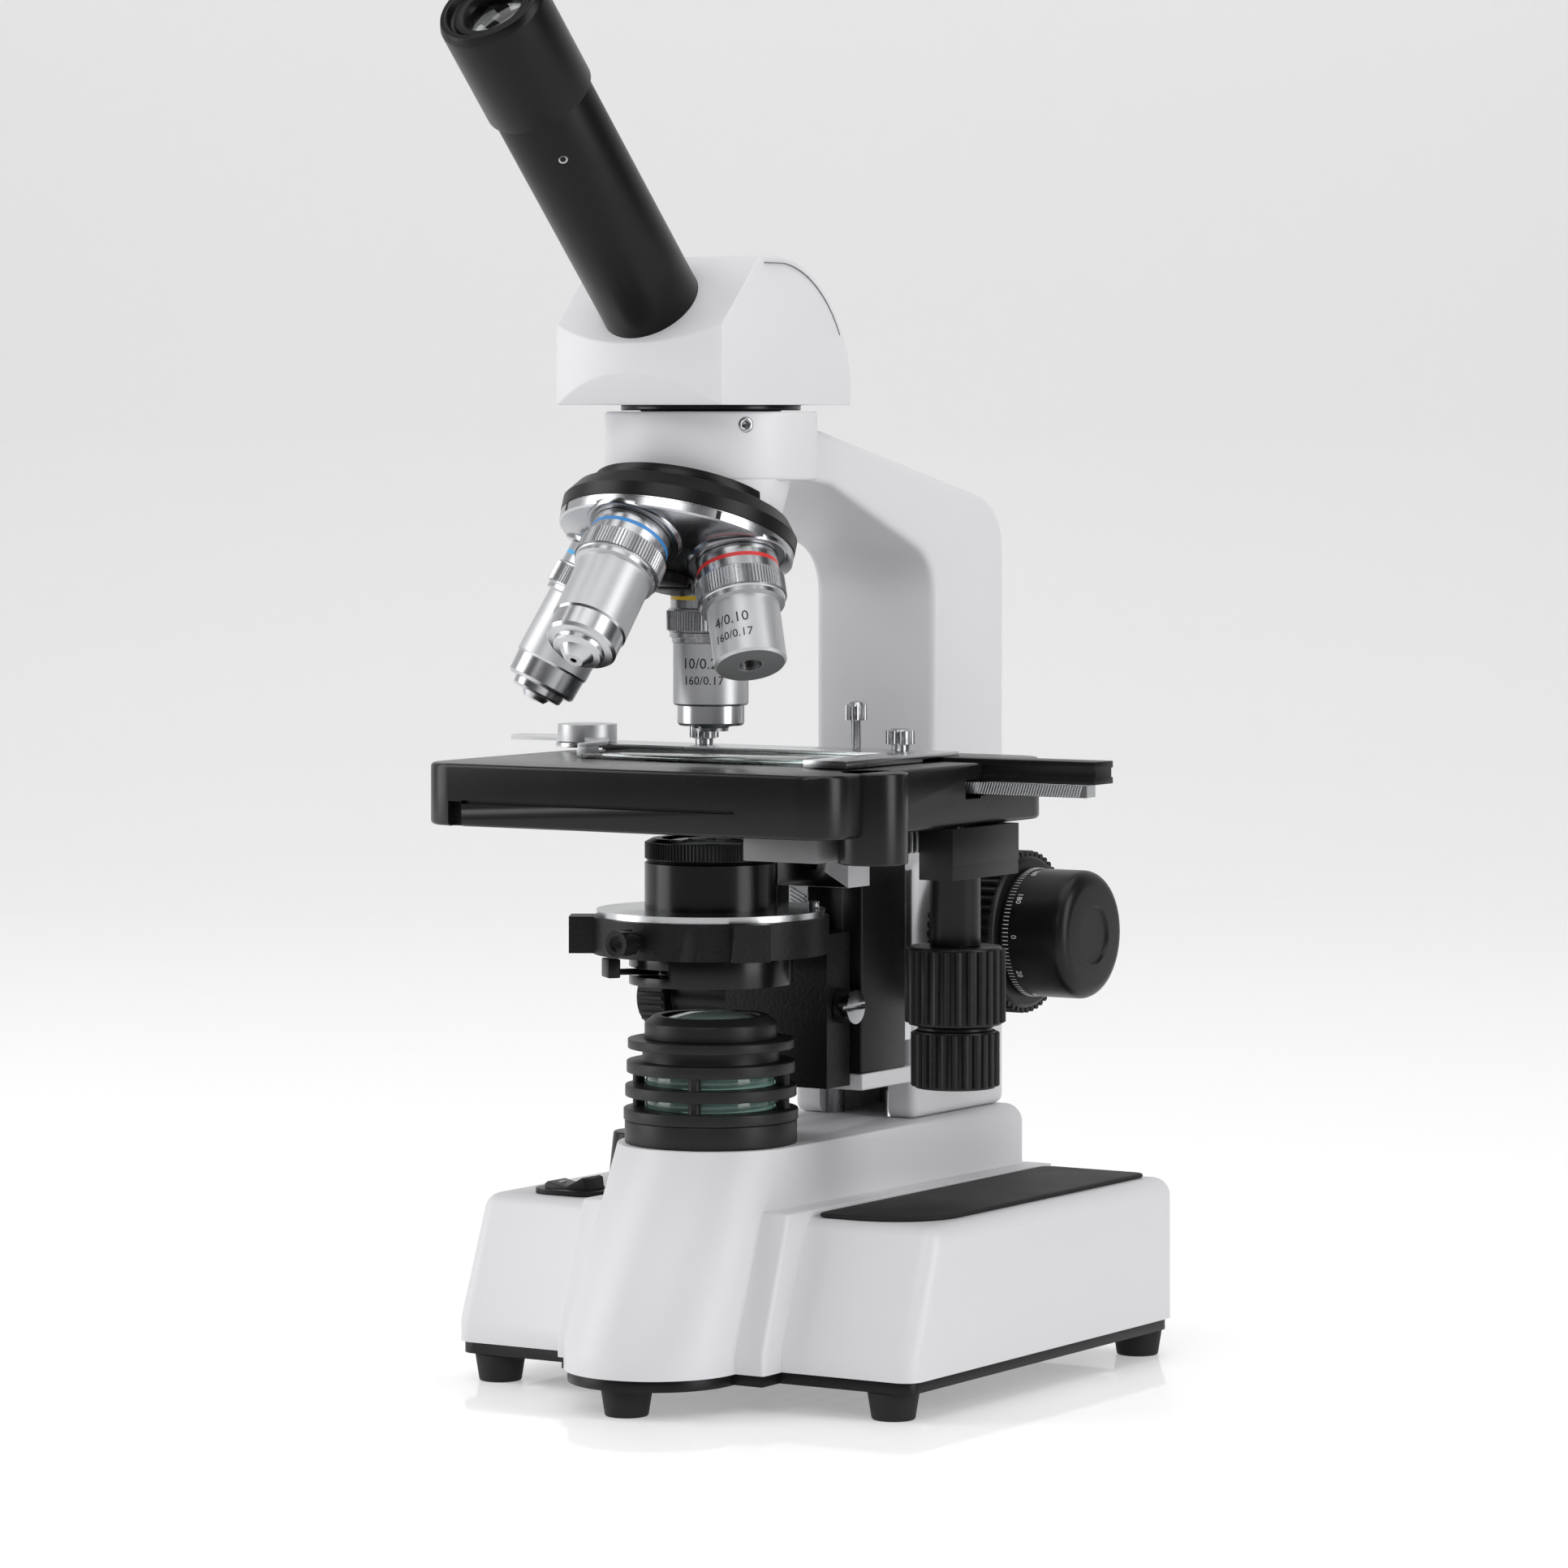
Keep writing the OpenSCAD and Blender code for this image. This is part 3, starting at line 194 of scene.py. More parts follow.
def wear_group():
    """Where edges are rubbed: a mask from how sharply the surface turns, broken up by noise."""
    g = bpy.data.node_groups.get("edge_wear")
    if g:
        return g
    g, i, o = new_group("edge_wear",
                        [("Vector", "Vector", None), ("Amount", "Float", 0.5)],
                        [("Mask", "Float")])
    n, l = g.nodes, g.links
    geo = n.new("ShaderNodeNewGeometry")
    mr = n.new("ShaderNodeMapRange")
    put(mr, From_Min=0.53, From_Max=0.62)
    wire(l, geo, "Pointiness", mr, "Value")
    noise = n.new("ShaderNodeTexNoise")
    put(noise, Scale=380, Detail=5)
    wire(l, i, "Vector", noise, "Vector")
    cut = n.new("ShaderNodeMapRange")
    put(cut, From_Min=0.45, From_Max=0.62)
    wire(l, noise, "Fac", cut, "Value")
    a = math_node(n, "MULTIPLY")
    b = math_node(n, "MULTIPLY")
    wire(l, mr, "Result", a, 0)
    wire(l, cut, "Result", a, 1)
    wire(l, a, 0, b, 0)
    wire(l, i, "Amount", b, 1)
    wire(l, b, 0, o, "Mask")
    return g


def make(name, rgb, rough, spread=0.06, grain=2500.0, bump=0.05, tint=0.05, wear=0.0, worn=(0.3, 0.3, 0.3),
         streak=None, **fixed):
    """A finish: colour with slow patches, worn edges, roughness and fine bump; fixed values go on the shader."""
    mat = bpy.data.materials.new(name)
    mat.use_nodes = True
    n, l = mat.node_tree.nodes, mat.node_tree.links
    p = n["Principled BSDF"]
    put(p, **fixed)
    tc = n.new("ShaderNodeTexCoord")
    mp = n.new("ShaderNodeMapping")
    if streak:
        put(mp, Scale=streak)
    wire(l, tc, "Object", mp, "Vector")
    g = n.new("ShaderNodeGroup")
    g.node_tree = grain_group()
    put(g, Scale=grain, Roughness=rough, Spread=spread)
    wire(l, mp, "Vector", g, "Vector")
    mix = n.new("ShaderNodeMix")
    mix.data_type = "RGBA"
    put(mix, A=(*[c * (1 - tint) for c in rgb], 1), B=(*[min(1, c * (1 + tint)) for c in rgb], 1))
    wire(l, g, "Patch", mix, "Factor")
    last = mix.outputs["Result"]
    if wear:
        w = n.new("ShaderNodeGroup")
        w.node_tree = wear_group()
        put(w, Amount=wear)
        wire(l, tc, "Object", w, "Vector")
        m2 = n.new("ShaderNodeMix")
        m2.data_type = "RGBA"
        put(m2, B=(*worn, 1))
        wire(l, w, "Mask", m2, "Factor")
        l.new(last, m2.inputs["A"])
        last = m2.outputs["Result"]
    l.new(last, p.inputs["Base Color"])
    wire(l, g, "Roughness", p, "Roughness")
    if bump:
        b = n.new("ShaderNodeBump")
        put(b, Strength=bump, Distance=0.0002)
        wire(l, g, "Height", b, "Height")
        wire(l, b, "Normal", p, "Normal")
    return mat


MATS = {}
# colour of rubbed edges on black paint
RUBBED = (0.04, 0.04, 0.04)


def row(*values, **fixed):
    return values, fixed


def mat(name):
    """The named finish, made when it is first used."""
    if name in MATS:
        return MATS[name]
    f = finish()
    black, knob, steel, satin = tuple(f.black), tuple(f.knob), tuple(f.steel), tuple(f.satin)
    table = {
        "body_paint": row(tuple(f.body), 0.42, grain=2600, bump=f.grain, tint=0.012, Specular_IOR_Level=0.45),
        "black_gloss": row(black, 0.22, 0.02, 1800, 0.03, 0.06, 0.05, RUBBED, Specular_IOR_Level=0.3),
        "black_satin": row(black, 0.34, 0.02, 2400, 0.05, 0.06, 0.05, RUBBED, Specular_IOR_Level=0.22),
        "stage_black": row((0.007, 0.007, 0.0075), 0.27, 0.015, 3200, 0.03, 0.05, 0.05, RUBBED,
                           Specular_IOR_Level=0.3),
        "lamp_black": row((0.013, 0.013, 0.0135), 0.42, 0.03, 2200, 0.05, 0.08, 0.12, (0.08, 0.08, 0.08),
                          Specular_IOR_Level=0.25),
        "stage_grey": row((0.17, 0.17, 0.175), 0.38, 0.03, 2600, 0.05, 0.05),
        "cast_black": row((0.007, 0.007, 0.0075), 0.4, 0.03, 1300, 0.5, 0.1, 0.04, RUBBED, Specular_IOR_Level=0.2),
        "tube_black": row((0.003, 0.003, 0.0033), 0.33, 0.015, 1500, 0.02, 0.06, Specular_IOR_Level=0.2),
        "knob_plastic": row(knob, 0.36, 0.03, 2200, 0.08, 0.08, 0.08, RUBBED, Specular_IOR_Level=0.25),
        "rubber": row(tuple(f.rubber), 0.6, 0.04, 1600, 0.25, 0.12, Specular_IOR_Level=0.2),
        "chrome": row(steel, 0.25, 0.03, 900, 0.0, 0.02, Metallic=1.0),
        # a darker copy of chrome: painted shade on the nosepiece's underside and the objective collars, also used for
        # the centring screws and the condenser spindle
        "dark_chrome_and_painted_shade": row((0.33, 0.335, 0.35), 0.2, 0.03, 900, 0.0, 0.05, Metallic=1.0),
        "satin_metal": row(satin, 0.4, 0.03, 1300, 0.04, 0.02, Metallic=0.72),
        "knurl_metal": row((0.42, 0.425, 0.435), 0.27, 0.04, 1500, 0.03, 0.05, Metallic=0.9),
        "plate_metal": row((0.6, 0.61, 0.62), 0.25, 0.06, 1900, 0.04, 0.04, Metallic=1.0),
        "brass": row((0.72, 0.52, 0.2), 0.25, 0.05, 1200, 0.03, 0.05, Metallic=1.0),
        "red_band": row(tuple(f.band_low), 0.35, bump=0, tint=0.03),
        "yellow_band": row(tuple(f.band_mid), 0.35, bump=0, tint=0.03),
        "blue_band": row(tuple(f.band_high), 0.35, bump=0, tint=0.03),
        "sky_band": row((0.06, 0.4, 0.75), 0.35, bump=0, tint=0.03),
        "seam_grey": row((0.16, 0.16, 0.17), 0.5, bump=0, tint=0.05),
        "ink": row((0.01, 0.01, 0.01), 0.5, bump=0, tint=0.1),
        "white_ink": row((0.8, 0.8, 0.8), 0.5, bump=0, tint=0.02),
        "glass": row((0.92, 0.97, 0.96), 0.02, 0.01, 600, 0, 0.01, Transmission_Weight=1.0, IOR=1.5),
        "lens_glass": row((0.5, 0.66, 0.61), 0.04, 0.01, 600, 0, 0.02, Transmission_Weight=0.45, IOR=1.5),
        "slide_glass": row((0.86, 0.95, 0.93), 0.03, 0.01, 600, 0, 0.01, Transmission_Weight=1.0, IOR=1.5),
        "green_glass": row((0.3, 0.5, 0.44), 0.08, 0.02, 600, 0, 0.05, Transmission_Weight=0.6, IOR=1.5),
        "board": row((0.02, 0.16, 0.05), 0.4, 0.05, 900, 0.05, 0.15),
        "led": row((0.9, 0.8, 0.35), 0.3, 0.05, 900, 0.03, 0.1),
    }
    values, fixed = table[name]
    MATS[name] = make(name, *values, **fixed)
    return MATS[name]


# ------------------------------------------------------------------ mesh helpers

def finish_piece(name, bm, mats, body, replaces=(), smooth=35.0):
    """Turns a bmesh into a named piece that rides on its body and stands for its CAD nodes."""
    for e in bm.edges:
        if len(e.link_faces) == 2 and e.calc_face_angle(0) > math.radians(smooth):
            e.smooth = False
    for face in bm.faces:
        face.smooth = True
    ob = temp_object(bm, name)
    for m in mats:
        ob.data.materials.append(mat(m))
    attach(ob, body)
    if replaces:
        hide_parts(*replaces)
    return ob


def lathe(profile, m=None, n=96, kinds=None, bm=None):
    """Turns a closed outline of (radius, height) in millimetres round Z; kinds gives each edge's material."""
    bm = bm or bmesh.new()
    m = m or Matrix.Identity(4)
    rings = []
    for r, z in profile:
        if r < 1e-6:
            rings.append([bm.verts.new(m @ Vector((0, 0, z * MM)))])
        else:
            rings.append([bm.verts.new(m @ Vector((r * MM * math.cos(2 * math.pi * k / n),
                                                   r * MM * math.sin(2 * math.pi * k / n),
                                                   z * MM))) for k in range(n)])
    made = []
    count = len(profile)
    for j in range(count):
        a, b = rings[j], rings[(j + 1) % count]
        if len(a) == 1 and len(b) == 1:
            continue
        for k in range(n):
            q = (k + 1) % n
            if len(a) == 1:
                vs = (a[0], b[q], b[k])
            elif len(b) == 1:
                vs = (a[k], a[q], b[0])
            else:
                vs = (a[k], a[q], b[q], b[k])
            f = bm.faces.new(vs)
            if kinds:
                f.material_index = kinds[j % len(kinds)]
            made.append(f)
    bmesh.ops.recalc_face_normals(bm, faces=made)
    return bm


def rounded(points, r=0.35, steps=2):
    """The outline with each corner off the axis rounded by about r."""
    out = []
    n = len(points)
    for i, (x, z) in enumerate(points):
        a, b = Vector(points[i - 1]), Vector(points[(i + 1) % n])
        p = Vector((x, z))
        u, v = a - p, b - p
        if x < 1e-6 or u.length < 1e-6 or v.length < 1e-6:
            out.append((x, z))
            continue
        d = min(r, u.length * 0.4, v.length * 0.4)
        p0, p1 = p + u.normalized() * d, p + v.normalized() * d
        for k in range(steps + 1):
            t = k / steps
            q = p0 * (1 - t) ** 2 + p * 2 * t * (1 - t) + p1 * t ** 2
            out.append((max(q.x, 0), q.y))
    return out


def solid_from(points, x0, x1, axis="X"):
    """A closed outline pushed along an axis from x0 to x1, in millimetres from the optical axis."""
    bm = bmesh.new()
    ends = []
    for v in (x0, x1):
        if axis == "X":
            ends.append([bm.verts.new(pt(v, a, b)) for a, b in points])
        else:
            ends.append([bm.verts.new(pt(a, b, v)) for a, b in points])
    bm.faces.new(ends[0])
    bm.faces.new(list(reversed(ends[1])))
    n = len(points)
    for i in range(n):
        j = (i + 1) % n
        bm.faces.new((ends[0][i], ends[1][i], ends[1][j], ends[0][j]))
    bmesh.ops.recalc_face_normals(bm, faces=bm.faces)
    return bm


def temp_object(bm, name="work"):
    me = bpy.data.meshes.new(name)
    bm.to_mesh(me)
    bm.free()
    ob = bpy.data.objects.new(name, me)
    bpy.context.scene.collection.objects.link(ob)
    return ob


def baked(ob):
    """The object's mesh with its modifiers, as a bmesh; the object is removed."""
    dg = bpy.context.evaluated_depsgraph_get()
    me = bpy.data.meshes.new_from_object(ob.evaluated_get(dg))
    bm = bmesh.new()
    bm.from_mesh(me)
    bpy.data.meshes.remove(me)
    bpy.data.objects.remove(ob)
    return bm


def cut(bm, tools, operation="DIFFERENCE"):
    """Cuts the tool meshes from the first, or keeps what they share."""
    ob = temp_object(bm)
    helpers = []
    for t in tools:
        h = temp_object(t, "cutter")
        md = ob.modifiers.new("cut", "BOOLEAN")
        md.operation = operation
        md.object = h
        md.solver = "EXACT"
        helpers.append(h)
    out = baked(ob)
    for h in helpers:
        bpy.data.objects.remove(h)
    bmesh.ops.remove_doubles(out, verts=out.verts, dist=1e-6)
    return out


def bevelled(bm, width, segments=3, angle=30.0):
    ob = temp_object(bm)
    md = ob.modifiers.new("round", "BEVEL")
    md.width = width
    md.segments = segments
    md.limit_method = "ANGLE"
    md.angle_limit = math.radians(angle)
    md.use_clamp_overlap = True
    return baked(ob)


def joined(a, b):
    """Adds bmesh b to bmesh a, keeping its material numbers."""
    me = bpy.data.meshes.new("join")
    b.to_mesh(me)
    b.free()
    a.from_mesh(me)
    bpy.data.meshes.remove(me)
    return a


def node_mesh(node):
    """A merged copy of a CAD node's mesh with its flat faces made whole."""
    bm = bmesh.new()
    bm.from_mesh(NODES[node].data)
    bmesh.ops.remove_doubles(bm, verts=bm.verts, dist=2e-6)
    bmesh.ops.dissolve_limit(bm, angle_limit=math.radians(0.6), verts=bm.verts, edges=bm.edges)
    return bm


def softened(node, name, finish_name, body, width=None, segments=2, angle=42.0):
    """A copy of a CAD node with its edges rounded, in place of the node."""
    bm = node_mesh(node)
    bm = bevelled(bm, shape().edge if width is None else width, segments, angle)
    return finish_piece(name, bm, [finish_name], body, [node], 32)


def box(m, x, y, z, kind=0):
    """A box of these sizes in metres round the origin of m."""
    bm = bmesh.new()
    bmesh.ops.create_cube(bm, size=1, matrix=m @ Matrix.Diagonal((x, y, z, 1)))
    for f in bm.faces:
        f.material_index = kind
    return bm


def cylinder(r, z0, z1, m=None, n=48):
    return lathe([(0, z0), (r, z0), (r, z1), (0, z1)], m, n)


def lettering(text, size, m_at, wrap_r=None, lift=0.00006, kind=0, material="ink"):
    """Flat figures as a mesh; wrap_r rolls them round a vertical cylinder of that radius in metres."""
    cu = bpy.data.curves.new("figures", "FONT")
    cu.body = text
    cu.size = size
    cu.align_x = "CENTER"
    cu.align_y = "CENTER"
    cu.resolution_u = 2
    cu.extrude = 0.00004
    ob = bpy.data.objects.new("figures", cu)
    bpy.context.scene.collection.objects.link(ob)
    bm = baked(ob)
    bpy.data.curves.remove(cu)
    if wrap_r:
        bmesh.ops.subdivide_edges(bm, edges=[e for e in bm.edges if e.calc_length() > 0.0006], cuts=1)
        for v in bm.verts:
            a = v.co.x / wrap_r
            r = wrap_r + lift + v.co.z
            v.co = Vector((r * math.sin(a), -r * math.cos(a), v.co.y))
    for v in bm.verts:
        v.co = m_at @ v.co
    for f in bm.faces:
        f.material_index = kind
    bmesh.ops.remove_doubles(bm, verts=bm.verts, dist=1e-7)
    bmesh.ops.recalc_face_normals(bm, faces=bm.faces)
    return bm


# ------------------------------------------------------------------ geometry node trees

def geo_tree(name, ins):
    return new_group(name, ins, [("Geometry", "Geometry")], "GeometryNodeTree")


def finish_tree(t, inst, i, o):
    """Makes the instances real, gives them the material and sends them out."""
    n, l = t.nodes, t.links
    real = n.new("GeometryNodeRealizeInstances")
    wire(l, inst, "Instances", real, "Geometry")
    sm = n.new("GeometryNodeSetMaterial")
    wire(l, real, "Geometry", sm, "Geometry")
    wire(l, i, "Material", sm, "Material")
    wire(l, sm, "Geometry", o, "Geometry")
    return t


def rib_ring_tree():
    """Ribs set round a circle, each a low column of Sides faces."""
    t = bpy.data.node_groups.get("rib_ring")
    if t:
        return t
    t, i, o = geo_tree("rib_ring", [
        ("Count", "Int", 40), ("Radius", "Float", 0.02), ("Width", "Float", 0.001),
        ("Height", "Float", 0.01), ("Sides", "Int", 8), ("Taper", "Float", 1.0),
        ("Material", "Material", None)])
    n, l = t.nodes, t.links
    circle = n.new("GeometryNodeMeshCircle")
    circle.fill_type = "NONE"
    wire(l, i, "Count", circle, "Vertices")
    wire(l, i, "Radius", circle, "Radius")
    rib = n.new("GeometryNodeMeshCone")
    wire(l, i, "Sides", rib, "Vertices")
    top = math_node(n, "MULTIPLY")
    wire(l, i, "Width", top, 0)
    wire(l, i, "Taper", top, 1)
    wire(l, top, 0, rib, "Radius Top")
    wire(l, i, "Width", rib, "Radius Bottom")
    wire(l, i, "Height", rib, "Depth")
    pos = n.new("GeometryNodeInputPosition")
    turn = n.new("FunctionNodeAlignRotationToVector")
    turn.axis = "X"
    wire(l, pos, 0, turn, "Vector")
    inst = n.new("GeometryNodeInstanceOnPoints")
    wire(l, circle, "Mesh", inst, "Points")
    wire(l, rib, "Mesh", inst, "Instance")
    wire(l, turn, "Rotation", inst, "Rotation")
    return finish_tree(t, inst, i, o)


def bar_row_tree():
    """Bars in a row along X, each a box turned by Slant: rack teeth, threads and ticks."""
    t = bpy.data.node_groups.get("bar_row")
    if t:
        return t
    t, i, o = geo_tree("bar_row", [
        ("Count", "Int", 20), ("Pitch", "Float", 0.0025), ("Size", "Vector", (0.001, 0.001, 0.003)),
        ("Slant", "Float", 0.35), ("Material", "Material", None)])
    n, l = t.nodes, t.links
    line = n.new("GeometryNodeMeshLine")
    step = n.new("ShaderNodeCombineXYZ")
    wire(l, i, "Pitch", step, "X")
    wire(l, i, "Count", line, "Count")
    wire(l, step, 0, line, "Offset")
    cube = n.new("GeometryNodeMeshCube")
    wire(l, i, "Size", cube, "Size")
    spin = n.new("ShaderNodeCombineXYZ")
    wire(l, i, "Slant", spin, "Y")
    turn = n.new("FunctionNodeEulerToRotation")
    wire(l, spin, 0, turn, 0)
    inst = n.new("GeometryNodeInstanceOnPoints")
    wire(l, line, "Mesh", inst, "Points")
    wire(l, cube, "Mesh", inst, "Instance")
    wire(l, turn, 0, inst, "Rotation")
    return finish_tree(t, inst, i, o)


def grown(tree, values, m, kind=0):
    """The tree's geometry with these inputs, as a bmesh placed by m."""
    me = bpy.data.meshes.new("seed")
    ob = bpy.data.objects.new("seed", me)
    md = ob.modifiers.new("grow", "NODES")
    md.node_group = tree
    for item in tree.interface.items_tree:
        if item.in_out == "INPUT" and item.name in values:
            md[item.identifier] = values[item.name]
    bpy.context.scene.collection.objects.link(ob)
    bm = baked(ob)
    for v in bm.verts:
        v.co = m @ v.co
    for f in bm.faces:
        f.material_index = kind
    return bm


def ribs(m, count, radius, width, z0, z1, kind=0, sides=8, taper=1.0, material="knob_plastic"):
    """Ribs in millimetres round the Z axis of m from z0 to z1."""
    return grown(rib_ring_tree(), {"Count": count, "Radius": radius * MM, "Width": width * MM,
                                   "Height": (z1 - z0) * MM, "Sides": sides, "Taper": taper,
                                   "Material": mat(material)},
                 m @ shift(0, 0, z0), kind)


RX90 = turned(90, "Y")


def along_x(x, y, z, flip=False):
    """A frame whose Z runs along +X, or -X if flipped."""
    return place(x, y, z) @ turned(-90 if flip else 90, "Y")


def turret_frame():
    return place(0, 0, APEX_Z) @ Matrix.Rotation(-LEAN, 4, "X")


def objective_frame(k):
    return (turret_frame() @ turned(90 * k) @ Matrix.Rotation(LEAN, 4, "X")
            @ shift(0, 0, -SHOULDER))


def tube_frame():
    return place(0, -28.8, 285.9) @ turned(45, "X")


# ------------------------------------------------------------------ operators

class Maker:
    bl_options = {"REGISTER"}

    def execute(self, context):
        self.build()
        return {"FINISHED"}


class MICRO_OT_base(Maker, bpy.types.Operator):
    """Base casting, bottom plate, feet and the arm rest"""
    bl_idname = "micro.base"
    bl_label = "Base"

    def build(self):
        softened("base_housing", "base_shell", "body_paint", "stand", 0.0005, 2, 50)
        softened("base_plate", "bottom_plate", "black_satin", "stand")
        softened("arm_rest_pad", "arm_rest", "rubber", "stand", 0.0005, 3)
        bm = bmesh.new()
        for x, y in ((-61, -8.6), (61, -8.6), (-61, 121), (61, 121), (0, -40)):
            lathe(rounded([(0, 0), (5.6, 0), (6.8, 7.5), (2, 7.5), (2, 10.4), (0, 10.4)], 0.6, 3), place(x, y, 0), 48,
                  bm=bm)
        finish_piece("feet", bm, ["rubber"], "stand", ["rubber_feet"])


class MICRO_OT_controls(Maker, bpy.types.Operator):
    """Power switch, dimmer and inlet"""
    bl_idname = "micro.controls"
    bl_label = "Switch and dimmer"

    def build(self):
        softened("switch_bezel", "switch_frame", "knob_plastic", "stand", 0.0003, 3)
        bm = bevelled(node_mesh("rocker_switch"), 0.0003, 2, 35)
        tilt = place(-48, 8, 47.3) @ turned(-8, "Y")
        m = tilt @ shift(-3.6, 0, 4.8) @ turned(20.6, "Y")
        joined(bm, box(m, 0.0005, 0.0026, 0.0003, 1))
        m = tilt @ shift(3.6, 0, 4.65) @ turned(-20.6, "Y")
        joined(bm, lathe([(1.0, 0), (1.45, 0), (1.45, 0.22), (1.0, 0.22)], m, 24, [1]))
        finish_piece("switch_rocker", bm, ["knob_plastic", "white_ink"], "power_switch", ["rocker_switch"])
        m = place(-46, 38, 49.1)
        bm = lathe(rounded([(0, 0), (9.7, 0), (9.3, 3), (8.2, 13.6), (0, 13.6)], 0.6, 3), m, 72)
        joined(bm, lathe([(0, -8.9), (3, -8.9), (3, 0.2), (0, 0.2)], m, 32))
        tree = ribs(m, 30, 9.0, 0.55, 0.6, 12.6)
        for v in tree.verts:
            local = m.inverted() @ v.co
            k = 1.0 - 0.011 * (local.z / MM - 0.6)
            v.co = m @ Vector((local.x * k, local.y * k, local.z))
        joined(bm, tree)
        joined(bm, box(m @ shift(0, -6.4, 13.62), 0.0006, 0.0028, 0.0001, 1))
        finish_piece("brightness_knob", bm, ["knob_plastic", "white_ink"], "dimmer", ["dimmer_knob"])
        softened("power_inlet", "inlet_socket", "knob_plastic", "stand")


class MICRO_OT_lamp(Maker, bpy.types.Operator):
    """Lamp port: collar, slotted cage, filters, retainer and lens"""
    bl_idname = "micro.lamp"
    bl_label = "Lamp port"

    def build(self):
        for node, name in (("lamp_collar", "lamp_base_ring"), ("lens_cage", "lamp_cage"),
                           ("lens_retainer", "lamp_cap")):
            softened(node, name, "lamp_black", "stand", 0.0005, 3)
        softened("filter_glasses", "filter_discs", "green_glass", "stand", 0.0003)
        softened("field_lens", "lamp_lens", "lens_glass", "stand", 0.0002)


class MICRO_OT_arm(Maker, bpy.types.Operator):
    """Arm casting with its column, channel and head ring"""
    bl_idname = "micro.arm"
    bl_label = "Arm"

    def build(self):
        corner = [(121, 66.3), (121, 218)]
        for k in range(9):
            a = math.radians(10 + 70 * k / 8)
            corner.append((121 - 16 + 16 * math.cos(a), 220 + 15.2 * math.sin(a)))
        under = [(22, 253.5), (8, 253.5), (8, 240), (30, 238)]
        for k in range(9):
            t = k / 8
            under.append((73 * (1 - t) ** 2 + 83 * 2 * t * (1 - t) + 83 * t * t,
                          221.2 * (1 - t) ** 2 + 217.3 * 2 * t * (1 - t) + 207 * t * t))
        side = corner + under + [(83, 138), (72, 134), (72, 66.3)]
        bm = solid_from(side, -19.3, 19.3)
        bm = bevelled(bm, shape().arm_edge, 4, 28)
        tools = [box(place(0, 88, 99), 0.0218, 0.034, 0.07), cylinder(6.9, -30, 30, along_x(0, FOCUS_Y, FOCUS_Z)),
                 cylinder(20, 200, 262, place(0, 0, 0), 96)]
        bm = cut(bm, tools)
        m = turret_frame()
        ring = lathe(rounded([(27.9, 239.8), (27.9, 257.7), (19, 257.7), (19, 249.7), (11, 249.7), (11, 239.8)], 1.1,
                             4), place(0, 0, 0), 128)
        wedge = lathe(rounded([(25.6, -37.7), (26.6, -20), (11, -20), (11, -37.7)], 0.8, 3), m, 96)
        low = box(place(0, 0, 222.5), 0.08, 0.08, 0.037)
        wedge = cut(wedge, [low, cylinder(27.7, 200, 262, place(0, 0, 0), 96)], "INTERSECT")
        seat = cylinder(24.02, -60, -34.7, m, 96)
        hole = cylinder(2.05, 20, 32, place(0, 0, 254.3) @ turned(-38.5) @ RX90, 32)
        ring = cut(ring, [hole])
        wedge = cut(wedge, [seat])
        finish_piece("arm_casting", joined(joined(bm, ring), wedge), ["body_paint"], "stand", ["arm"], 30)
        softened("focus_guide", "guide_rails", "plate_metal", "stand")
        softened("nosepiece_mount", "nosepiece_seat", "black_satin", "stand")
        softened("arm_bolts", "arm_screws", "knurl_metal", "stand", 0.0002)


class MICRO_OT_head(Maker, bpy.types.Operator):
    """Head casting with its curved front, cover seam and dovetail"""
    bl_idname = "micro.head"
    bl_label = "Head"

    def build(self):
        def back(rx, ry, angles):
            """The rounded back: an ellipse pulled in a little half way."""
            out = []
            for a in angles:
                k = 1 - 0.05 * math.sin(math.radians(2 * a))
                out += arc(-6, 266, rx * k, ry * k, [a])
            return out

        side = [(27.2, 259.4), (27.2, 266)] + back(33.2, 31.9, range(6, 90, 6))
        side += [(-6, 297.9), (-16.6, 297.9), (-39.4, 275.1), (-39.4, 267.7), (-34.6, 259.4)]
        bm = solid_from(side, -26.4, 26.4)
        front = [(26.4, 30)]
        front += [(68.4 * math.sin(math.radians(a)), 29.0 - 68.4 * math.cos(math.radians(a))) for a in range(22, -23,
                                                                                                             -2)]
        front += [(-26.4, 30)]
        plan = solid_from([(max(-26.4, min(26.4, x)), y) for x, y in front], 250, 305, "Z")
        bm = cut(bm, [plan], "INTERSECT")
        bm = bevelled(bm, shape().head_edge, 4, 24)
        bm = cut(bm, [cylinder(13.2, -8, 60, tube_frame(), 96)])
        ring = lathe(rounded([(12, 251.7), (17.4, 251.7), (18.4, 258), (23.6, 258), (23.6, 259.6), (12, 259.6)],
                             0.25), place(0, 0, 0), 96, [1])
        joined(bm, ring)
        seam = bmesh.new()
        for s in (-1, 1):
            path = back(31.4, 30.1, range(24, 91, 3)) + [(-15.0, 296.1)]
            rows = []
            for i, (y, z) in enumerate(path):
                y2, z2 = path[min(i + 1, len(path) - 1)]
                y1, z1 = path[max(i - 1, 0)]
                t = Vector((y2 - y1, z2 - z1)).normalized() * 0.11
                rows.append([seam.verts.new(pt(s * x, y - t.y * w, z + t.x * w)) for x,
                             w in ((26.47, -1), (26.47, 1), (25.8, 1), (25.8, -1))])
            for a, b in zip(rows, rows[1:]):
                for k in range(4):
                    seam.faces.new((a[k], a[(k + 1) % 4], b[(k + 1) % 4], b[k]))
            seam.faces.new(rows[0])
            seam.faces.new(rows[-1])
        bmesh.ops.recalc_face_normals(seam, faces=seam.faces)
        for f in seam.faces:
            f.material_index = 2
        joined(bm, seam)
        finish_piece("head_casting", bm, ["body_paint", "black_gloss", "seam_grey"], "head", ["head_housing"], 28)


